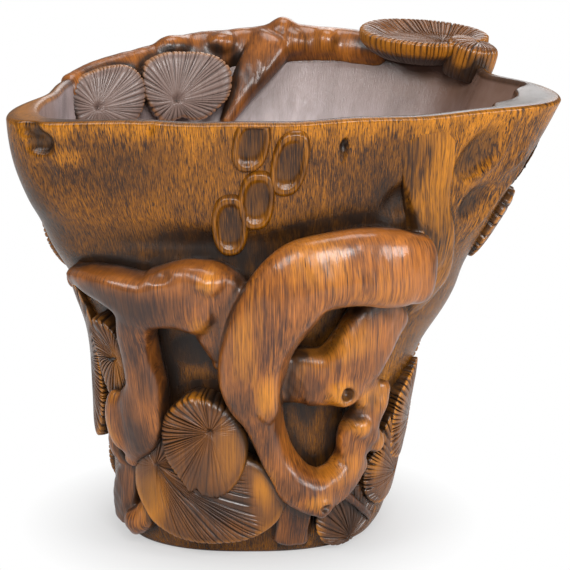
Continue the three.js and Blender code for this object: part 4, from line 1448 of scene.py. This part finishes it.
def scale_piece(carving, name, spec, material):
    """A bark scale: an oval with a raised lip round a sunken middle."""
    place = wall_pad_place(carving.wall, {**spec, "thick": SCALE_THICKNESS, "turn": SCALE_TURN})
    columns = 128
    spin = np.linspace(0, 2 * np.pi, columns, endpoint=False)
    across, up = np.cos(spin), np.sin(spin)
    squarer = (np.abs(across) ** SCALE_SQUARENESS + np.abs(up) ** SCALE_SQUARENESS) ** (-1 / SCALE_SQUARENESS)
    reach, height = np.array(SCALE_SECTION).T[..., None]
    swell = height * np.ones(columns)
    p = spec["across"] * reach * across * squarer
    q = spec["up"] * reach * up * squarer
    corners, quads, fans = closed_rings(place(p, q, swell))
    # The lip is lightened towards amber as a painted glow, and the sunken middle is darkened as painted
    # shade.
    lip = np.concatenate([smooth_step(0.55, 1.0, swell).ravel(), [0, 0]])
    inner = np.concatenate([(smooth_step(0.6, 0.2, swell) * (reach < 0.8)).ravel(), [1, 0]])
    marks = {"edge": 0.35 * lip, "hollow": 0.12 * inner, "tint": -0.45 * inner}
    return make_object(f"{name}_carved", corners, [quads, fans], material, marks)


# The vessel


def relief(wall, angle, z):
    """How far the wall's carved surface stands off its smooth form."""
    total = np.zeros(np.broadcast(angle, z).shape)
    for centre, rise, half_width, half_height, out, tilt, crisp in WALL_RELIEF:
        middle = wall.height * rise / 100
        radius = wall.radius(np.array(float(centre)), np.array(middle))
        x = np.radians(turn_between(angle, centre)) * radius
        y = z - middle
        c, s = math.cos(math.radians(tilt)), math.sin(math.radians(tilt))
        share = ((x * c + y * s) / half_width) ** 2 + ((y * c - x * s) / half_height) ** 2
        total = total + out * np.exp(-(share**crisp))
    return total


# The round at the foot, at the rim's outer and inner edge, and where the inside starts under the rim.
FOOT_ROUND = 1.1
LIP_ROUND = 1.0
INNER_ROUND = 1.2
INSIDE_START = 1.5
# The hollow under the foot: share of the foot's radius, height.
FOOT_HOLLOW = ((0.02, 0.5), (0.35, 0.5), (0.6, 0.45), (0.76, 0.25), (0.82, 0.0), (0.9, 0.0))
# How much thicker the rim is at the facet by the tip and at the chipped corner.
FACET_THICKNESS = 4.6
CHIP_THICKNESS = 1.2
CHIP_ANGLE = 205
CHIP_SPREAD = 22
# How many degrees the columns crowd towards the tip.
CROWDING = 26


def vessel_rings(wall):
    """Rings of corners up the outside, over the rim and down the inside, and how far each is inside."""
    columns = 470
    angle = np.linspace(0, 360, columns, endpoint=False)
    angle = angle - CROWDING * np.cos(np.radians(angle))
    turn = np.radians(angle)
    rim = wall.rim(wall.outside(angle, np.full(columns, wall.height)))
    rim = rim + 0.22 * np.sin(turn * 5 + 0.6) + 0.15 * np.sin(turn * 11 + 2)
    rings, insides = [], []

    def ring(middle, radius, z, inside):
        x, y = middle
        rings.append(np.stack([x + radius * np.cos(turn), y + radius * np.sin(turn), z + 0 * radius], -1))
        insides.append(np.full(columns, float(inside)))

    def outer(z, inset=0.0):
        radius = wall.radius(angle, z) + relief(wall, angle, z) - inset
        ring(wall.middle(z), radius, z, 0)

    foot = wall.radius(angle, np.zeros(columns))
    for share, height in FOOT_HOLLOW:
        ring((0, 0), foot * share, height, 0)
    for bend in np.radians(np.linspace(0, 90, 5)):
        outer(np.full(columns, FOOT_ROUND * (1 - math.cos(bend))), FOOT_ROUND * (1 - math.sin(bend)))
    steps = 137
    for share in 1 - (1 - np.linspace(0, 1, steps)[1:]) ** 1.2:
        outer(FOOT_ROUND + (rim - LIP_ROUND - FOOT_ROUND) * share)
    for bend in np.radians(np.linspace(15, 90, 6)):
        outer(rim - LIP_ROUND + LIP_ROUND * math.sin(bend), LIP_ROUND * (1 - math.cos(bend)))
    facet = smooth_step(326, 334, angle % 360) * smooth_step(357, 349, angle % 360)
    thick = wall.thickness(np.array(wall.height)) + FACET_THICKNESS * facet
    thick = thick + CHIP_THICKNESS * np.exp(-((turn_between(angle, CHIP_ANGLE) / CHIP_SPREAD) ** 2))
    inner_top = wall.inner_radius(angle, rim, thick)
    outer_top = wall.radius(angle, rim) - LIP_ROUND
    for share in (0.35, 0.7):
        ring(wall.middle(rim), outer_top + (inner_top + INNER_ROUND - outer_top) * share, rim, 0.1 * share)
    for bend in np.radians(np.linspace(0, 75, 6)):
        radius = inner_top + INNER_ROUND * (1 - math.sin(bend))
        ring(wall.middle(rim), radius, rim - INNER_ROUND * (1 - math.cos(bend)), 0.25)
    top = rim - INSIDE_START
    for share in np.linspace(1, 0, 46) ** 1.25:
        z = wall.floor + (top - wall.floor) * share
        blend = share**3
        full = wall.inner_radius(angle, z, wall.thickness(z) * (1 - blend) + thick * blend)
        low = np.clip((z - wall.floor) / FLOOR_ROUND, 0, 1)
        ring(wall.middle(z), full - FLOOR_ROUND * (1 - np.sqrt(1 - (1 - low) ** 2)), z, 1)
    x, y = wall.middle(wall.floor)
    floor_edge = np.hypot(rings[-1][:, 0] - x, rings[-1][:, 1] - y)
    for share in (0.75, 0.5, 0.25, 0.03):
        ring((x, y), floor_edge * share, wall.floor, 1)
    return np.stack(rings), np.concatenate([*insides, [0, 1]])


def vessel_piece(carving, material):
    """The hollowed horn, with marks for its inside, for dark wax with painted shade and shadows, for a
    painted glow at its thin rim, and for tones with painted light.
    """
    wall = carving.wall
    rings, inside = vessel_rings(wall)
    corners, quads, fans = closed_rings(rings)
    quads, fans = quads[:, ::-1], fans[:, ::-1]
    normals = vertex_normals(corners, quads)
    x, _, z = corners.T
    angle, _ = wall.polar(corners)
    from_rim = wall.rim(corners) - z
    # Dark wax and painted shadows on the outside of the wall.
    wax_and_shadow = wax_and_shadow_mark(angle, 100 * z / wall.height) * (1 - inside)
    ragged = 1.6 * np.sin(np.radians(angle) * 23) + np.sin(np.radians(angle) * 57)
    # A painted glow of light through the thin rim, weaker on faces that look up.
    thin = np.clip(1 - (from_rim + ragged - 1) / 9, 0, 1) ** 1.5 * (0.75 - 0.6 * np.clip(normals[:, 2], 0, 1))
    # Painted shade on the inside, darker towards the right and towards the rim; the far left end is lighter.
    inside_painted_shade = np.clip(0.45 * smooth_step(10, 44, x) + 0.6 * smooth_step(22, 2, from_rim), 0, 1)
    marks = {
        "inside": inside,
        "hollow": np.maximum(carving.wax_and_shade_mark(corners + normals * 0.25, normals), wax_and_shadow),
        "tint": np.where(inside > 0, smooth_step(-36, -43, x) - inside_painted_shade, tone_and_light_mark(wall, corners)),
        "edge": (1 - inside) * thin,
    }
    return make_object("vessel_carved", corners, [quads, fans], material, marks)


# Materials


# How far from the cup's axis the horn's fibres have the widths given.
GRAIN_RADIUS = 36
# The light and the dark colour of each look, and how it differs from plain horn.
LOOKS = {
    "wall": (
        ("wall_gold", "wall_brown"),
        {"slant": 0.04, "width": 0.19, "length": 3, "roughness": 0.19, "lined": 1.7, "hollowed": True},
    ),
    "bark": (
        ("wall_gold", "wall_brown"),
        {"slant": 0.05, "width": 0.3, "length": 9, "worn": 0.5, "lined": 1.2},
    ),
    "wood": (
        ("wood_orange", "wood_brown"),
        {"width": 0.32, "length": 12, "worn": 0.3, "waxed": 0.7},
    ),
    "rim_wood": (
        ("wood_orange", "wood_brown"),
        {"width": 0.32, "length": 12, "worn": 0.3, "lined": 0.8, "waxed": 0.5},
    ),
    "needles": (
        ("needle_amber", "needle_brown"),
        {"width": 0.4, "length": 9, "grooved": 0.85, "worn": 0.55, "lined": 0.45, "waxed": 0.4},
    ),
    "rim_needles": (
        ("rim_needles", "rim_needles"),
        {"roughness": 0.25, "grooved": 0.6, "worn": 0.5, "lined": 0.2, "waxed": 0.4},
    ),
}
PLAIN_HORN = {
    "slant": 0, "width": 0.7, "length": 14, "roughness": 0.2, "grooved": 0, "worn": 1, "lined": 1, "waxed": 0,
    "hollowed": False,
}


def rgba(value, share=1.0):
    return (*(v * share for v in value), 1.0)


def horn(name, light, dark, look):
    """Polished horn: upright fibres, amber where it is worn and as a painted glow where it is thin, dark wax
    and painted shade in the recesses.

    In a look, slant leans the fibres, width and length are theirs in millimetres, and lined is how
    strong they are. grooved (painted shade in the needle grooves), worn (wear and a painted glow on
    thin edges) and waxed are shares, and a hollowed piece has a greyer inside, partly a painted sheen.
    """
    c = colours()
    width, length, lined = look["width"], look["length"], look["lined"]
    material = bpy.data.materials.new(name)
    material.use_nodes = True
    n = Nodes(material.node_tree)
    shader = material.node_tree.nodes["Principled BSDF"]
    coordinates = n.add("ShaderNodeTexCoord").outputs
    x, y, z = n.split(coordinates["Object"])
    around = n.times(n.math("ARCTAN2", x, n.times(y, -1.0)), GRAIN_RADIUS * MM)
    away = n.math("SQRT", n.plus(n.times(x, x), n.times(y, y)))
    grain = n.vector(n.plus(around, n.times(z, look["slant"])), away, z)

    def noise(across, upright, detail):
        depth = max(across, min(8 * across, 6))
        stretch = tuple(1 / (size * MM) for size in (across, depth, upright))
        scaled = n.add("ShaderNodeVectorMath", {0: grain, 1: stretch}, operation="MULTIPLY").outputs[0]
        settings = {"Vector": scaled, "Scale": 1.0, "Detail": detail, "Roughness": 0.6}
        return n.add("ShaderNodeTexNoise", settings).outputs["Fac"]

    def mark(attribute):
        return n.add("ShaderNodeAttribute", attribute_name=attribute).outputs["Fac"]

    facing = n.math("ABSOLUTE", n.split(coordinates["Normal"])["Z"])
    upright = n.span(facing, 0.5, 0.9, lined, 0.3 * lined)
    broad = noise(10, 20, 4)
    patches = noise(3, 9, 3)
    fibres = noise(width, length, 2)
    fine = noise(width * 0.5, length * 0.45, 2)
    cracks = noise(width * 0.6, length * 1.2, 1)
    tint = mark("tint")
    # hollow is dark wax and painted shade in recesses and shadows.
    hollow = n.span(mark("hollow"), 0.07, 0.52)
    streak = n.times(n.minus(fibres, 0.5), upright)
    shade = n.plus(n.times(streak, 1.6), n.span(broad, 0.3, 0.7, -0.4, 0.4))
    shade = n.plus(shade, n.span(patches, 0.3, 0.7, -0.2, 0.2))
    shade = n.minus(shade, n.times(tint, 0.3))
    # Amber for wear and a painted glow on thin edges, and for worn places and painted highlights.
    edge = n.plus(n.times(mark("edge"), look["worn"]), n.times(tint, 0.9))
    edge = n.minus(edge, n.times(streak, 1.2))
    shown = n.mix(n.span(shade, -0.5, 0.5), rgba(light), rgba(dark))
    shown = n.mix(n.span(edge, 0.1, 1.0), shown, rgba(c.amber))
    shown = n.mix(n.times(n.span(fine, 0.52, 0.66, 0.0, 0.6), upright), shown, rgba(dark, 0.4))
    # Painted glints along the fine fibres.
    shown = n.mix(n.times(n.span(fine, 0.46, 0.34, 0.0, 0.4), upright), shown, rgba(light, 1.5))
    shown = n.mix(n.times(n.span(cracks, 0.68, 0.73, 0.0, 0.9), upright), shown, rgba(dark, 0.12))
    # Dark brown places and painted shade from the tone mark.
    shown = n.mix(n.span(tint, 0.0, -1.0, 0.0, 0.8), shown, rgba(dark, 0.3))
    # Painted shade in the needle grooves.
    if look["grooved"]:
        shown = n.mix(n.span(mark("groove"), 0.15, 1.0, 0.0, look["grooved"]), shown, rgba(c.wax_and_shade))
    # Dark wax and painted shade in the recesses.
    shown = n.mix(n.times(hollow, n.span(patches, 0.35, 0.6, 0.75, 0.97)), shown, rgba(c.wax_and_shade))
    # The inside: light mauve that is partly a painted sheen, random darker patches, painted shade towards the
    # rim and the right, and a lighter far left end.
    if look["hollowed"]:
        lining = n.mix(n.span(patches, 0.35, 0.65), rgba(c.inside_mauve_and_sheen), rgba(c.inside_mauve_and_sheen, 0.7))
        lining = n.mix(n.span(tint, 0.0, -1.0, 0.0, 0.75), lining, rgba(light, 0.45))
        lining = n.mix(n.span(tint, 0.0, 1.0, 0.0, 0.8), lining, rgba(light))
        shown = n.mix(mark("inside"), shown, lining)
    smooth, dull = look["roughness"] - 0.05, look["roughness"] + 0.06
    rough = n.plus(n.span(broad, 0.3, 0.7, smooth, dull), n.times(hollow, 0.1))
    height = n.times(n.plus(fine, fibres), upright)
    bump = n.add("ShaderNodeBump", {"Strength": 0.5, "Distance": 0.00007, "Height": height}, invert=True)
    for socket, value in {
        "Base Color": shown,
        "Roughness": rough,
        "IOR": 1.5,
        "Specular IOR Level": 0.42,
        "Coat Weight": look["waxed"],
        "Coat Roughness": 0.42,
        "Normal": bump.outputs[0],
    }.items():
        n.feed(shader.inputs[socket], value)
    return material


def material_for(look):
    """The material of a look, made when it is first asked for."""
    name = f"horn_{look}"
    if name in bpy.data.materials:
        return bpy.data.materials[name]
    pair, differences = LOOKS[look]
    light, dark = (tuple(getattr(colours(), colour_name)) for colour_name in pair)
    return horn(name, light, dark, {**PLAIN_HORN, **differences})


# Operators


def the_carving():
    """One carving for all operators."""
    if not hasattr(the_carving, "made"):
        the_carving.made = Carving()
    return the_carving.made


class HORNCUP_OT_vessel(bpy.types.Operator):
    """Builds the hollowed horn with its foot and rim"""

    bl_idname = "horncup.vessel"
    bl_label = "Vessel"

    def execute(self, context):
        place_piece(vessel_piece(the_carving(), material_for("wall")), "vessel")
        return {"FINISHED"}


class HORNCUP_OT_branches(bpy.types.Operator):
    """Builds the trunk, branches, roots and bark ridge, each as its own piece"""

    bl_idname = "horncup.branches"
    bl_label = "Branches"

    def execute(self, context):
        step = 0.42
        for name in WOOD:
            look, slot = WOOD_LOOKS.get(name, ("wood", "branches"))
            carve_form(the_carving(), name, material_for(look), step)
        return {"FINISHED"}


class HORNCUP_OT_scales(bpy.types.Operator):
    """Builds the oval bark scales under the rim"""

    bl_idname = "horncup.scales"
    bl_label = "Bark scales"

    def execute(self, context):
        for name, spec in SCALES.items():
            place_piece(scale_piece(the_carving(), name, spec, material_for("bark")), name)
        return {"FINISHED"}


class HORNCUP_OT_needles(bpy.types.Operator):
    """Builds the pads of needles on the wall and on the rim"""

    bl_idname = "horncup.needles"
    bl_label = "Needle pads"

    def execute(self, context):
        carving = the_carving()
        material = material_for("needles")
        for name, spec in WALL_PADS.items():
            piece = pad_piece(carving, name, spec, wall_pad_place(carving.wall, spec), material)
            place_piece(piece, name)
        for name, spec in RIM_PADS.items():
            material = material_for("needles" if "right" in name else "rim_needles")
            piece = pad_piece(carving, name, spec, rim_pad_place(carving.wall, spec), material, free=True)
            place_piece(piece, name)
        return {"FINISHED"}


# The camera's target and lens, and each lamp's name, place, size in millimetres and power in watts.
AIM = (7.75, 1.25, 52.0)
LENS = 147.16
SENSOR = 36
LAMPS = (
    ("key_lamp", (-350, -380, 430), 240, 1.1),
    ("front_lamp", (70, -600, 400), 260, 2.5),
    ("fill_lamp", (520, -330, 260), 260, 1.7),
    ("top_lamp", (40, 60, 620), 360, 1.2),
    ("back_lamp", (120, 520, 380), 360, 0.7),
)


class HORNCUP_OT_stage(bpy.types.Operator):
    """Sets up the floor, the lamps, the world and the camera"""

    bl_idname = "horncup.stage"
    bl_label = "Stage"

    def execute(self, context):
        scene = context.scene
        scene.view_settings.view_transform = "Standard"
        make_floor()
        for name, place, size, watts in LAMPS:
            make_lamp(name, place, size, watts)
        make_world(scene)
        make_camera(scene)
        return {"FINISHED"}


# The floor's two radii, and the distances between which its emission takes over from its shadows.
FLOOR_RADII = (400, 2500)
SHADOW_END = (28, 50)


def make_floor():
    columns = 96
    turn = np.linspace(0, 2 * np.pi, columns, endpoint=False)
    rings = [np.stack([r * np.cos(turn), r * np.sin(turn), 0 * turn], -1) for r in FLOOR_RADII]
    corners = np.concatenate([*rings, [[0, 0, 0]]])
    middle = len(corners) - 1
    quads, fans = ring_faces(len(rings), columns, middle, middle)
    material = bpy.data.materials.new("studio_floor")
    material.use_nodes = True
    n = Nodes(material.node_tree)
    shader = material.node_tree.nodes["Principled BSDF"]
    shader.inputs["Base Color"].default_value = rgba(colours().floor)
    shader.inputs["Roughness"].default_value = 0.9
    shader.inputs["Specular IOR Level"].default_value = 0.1
    white = n.add("ShaderNodeEmission", {"Color": (1, 1, 1, 1), "Strength": 1.0})
    place = n.add("ShaderNodeTexCoord").outputs["Object"]
    away = n.add("ShaderNodeVectorMath", {0: place}, operation="LENGTH").outputs["Value"]
    share = n.span(away, SHADOW_END[0] * MM, SHADOW_END[1] * MM, 0.5, 1.0)
    seen = n.times(n.add("ShaderNodeLightPath").outputs["Is Camera Ray"], share)
    mixed = n.add("ShaderNodeMixShader", {0: seen, 1: shader.outputs[0], 2: white.outputs[0]})
    n.feed(material.node_tree.nodes["Material Output"].inputs[0], mixed.outputs[0])
    floor = make_object("studio_floor", corners, [quads, fans[:columns]], material)


def make_lamp(name, place, size, watts):
    light = bpy.data.lights.new(name, "AREA")
    light.shape = "DISK"
    light.size = size * MM
    light.energy = watts
    lamp = bpy.data.objects.new(name, light)
    lamp.location = [v * MM for v in place]
    lamp.rotation_mode = "QUATERNION"
    lamp.rotation_quaternion = look_along(np.array(AIM) - np.array(place))
    bpy.context.scene.collection.objects.link(lamp)


def look_along(direction):
    return Vector(direction).to_track_quat("-Z", "Y")


def make_world(scene):
    world = bpy.data.worlds.new("studio")
    scene.world = world
    world.use_nodes = True
    background = world.node_tree.nodes["Background"]
    background.inputs["Color"].default_value = (1, 1, 1, 1)
    background.inputs["Strength"].default_value = 0.2


def make_camera(scene):
    s = sizes()
    camera = bpy.data.cameras.new("camera")
    camera.lens = LENS
    camera.sensor_width = SENSOR
    camera.clip_start = 0.05
    camera.clip_end = 10
    back = np.array([0, -math.cos(s.camera_height), math.sin(s.camera_height)])
    eye = bpy.data.objects.new("camera", camera)
    eye.location = np.array(AIM) * MM + back * s.camera_distance
    eye.rotation_mode = "QUATERNION"
    eye.rotation_quaternion = look_along(-back)
    scene.collection.objects.link(eye)
    scene.camera = eye


class HORNCUP_PT_panel(bpy.types.Panel):
    """Lists the cup's sizes, colours and steps"""

    bl_idname = "HORNCUP_PT_panel"
    bl_label = "Horn cup"
    bl_space_type = "VIEW_3D"
    bl_region_type = "UI"
    bl_category = "Horn cup"

    def draw(self, context):
        for group in (context.scene.horn_cup_sizes, context.scene.horn_cup_colours):
            column = self.layout.column()
            for name in group.__annotations__:
                column.prop(group, name)
        for operator in OPERATORS:
            self.layout.operator(operator.bl_idname)


OPERATORS = (
    HORNCUP_OT_stage,
    HORNCUP_OT_vessel,
    HORNCUP_OT_branches,
    HORNCUP_OT_scales,
    HORNCUP_OT_needles,
)
CLASSES = (HornCupSizes, HornCupColours, *OPERATORS, HORNCUP_PT_panel)


def register():
    for cls in CLASSES:
        bpy.utils.register_class(cls)
    bpy.types.Scene.horn_cup_sizes = bpy.props.PointerProperty(type=HornCupSizes)
    bpy.types.Scene.horn_cup_colours = bpy.props.PointerProperty(type=HornCupColours)


def unregister():
    del bpy.types.Scene.horn_cup_colours
    del bpy.types.Scene.horn_cup_sizes
    for cls in reversed(CLASSES):
        bpy.utils.unregister_class(cls)


def main():
    register()
    bpy.ops.horncup.stage()
    bpy.ops.horncup.vessel()
    bpy.ops.horncup.branches()
    bpy.ops.horncup.scales()
    bpy.ops.horncup.needles()


if __name__ == "__main__":
    main()
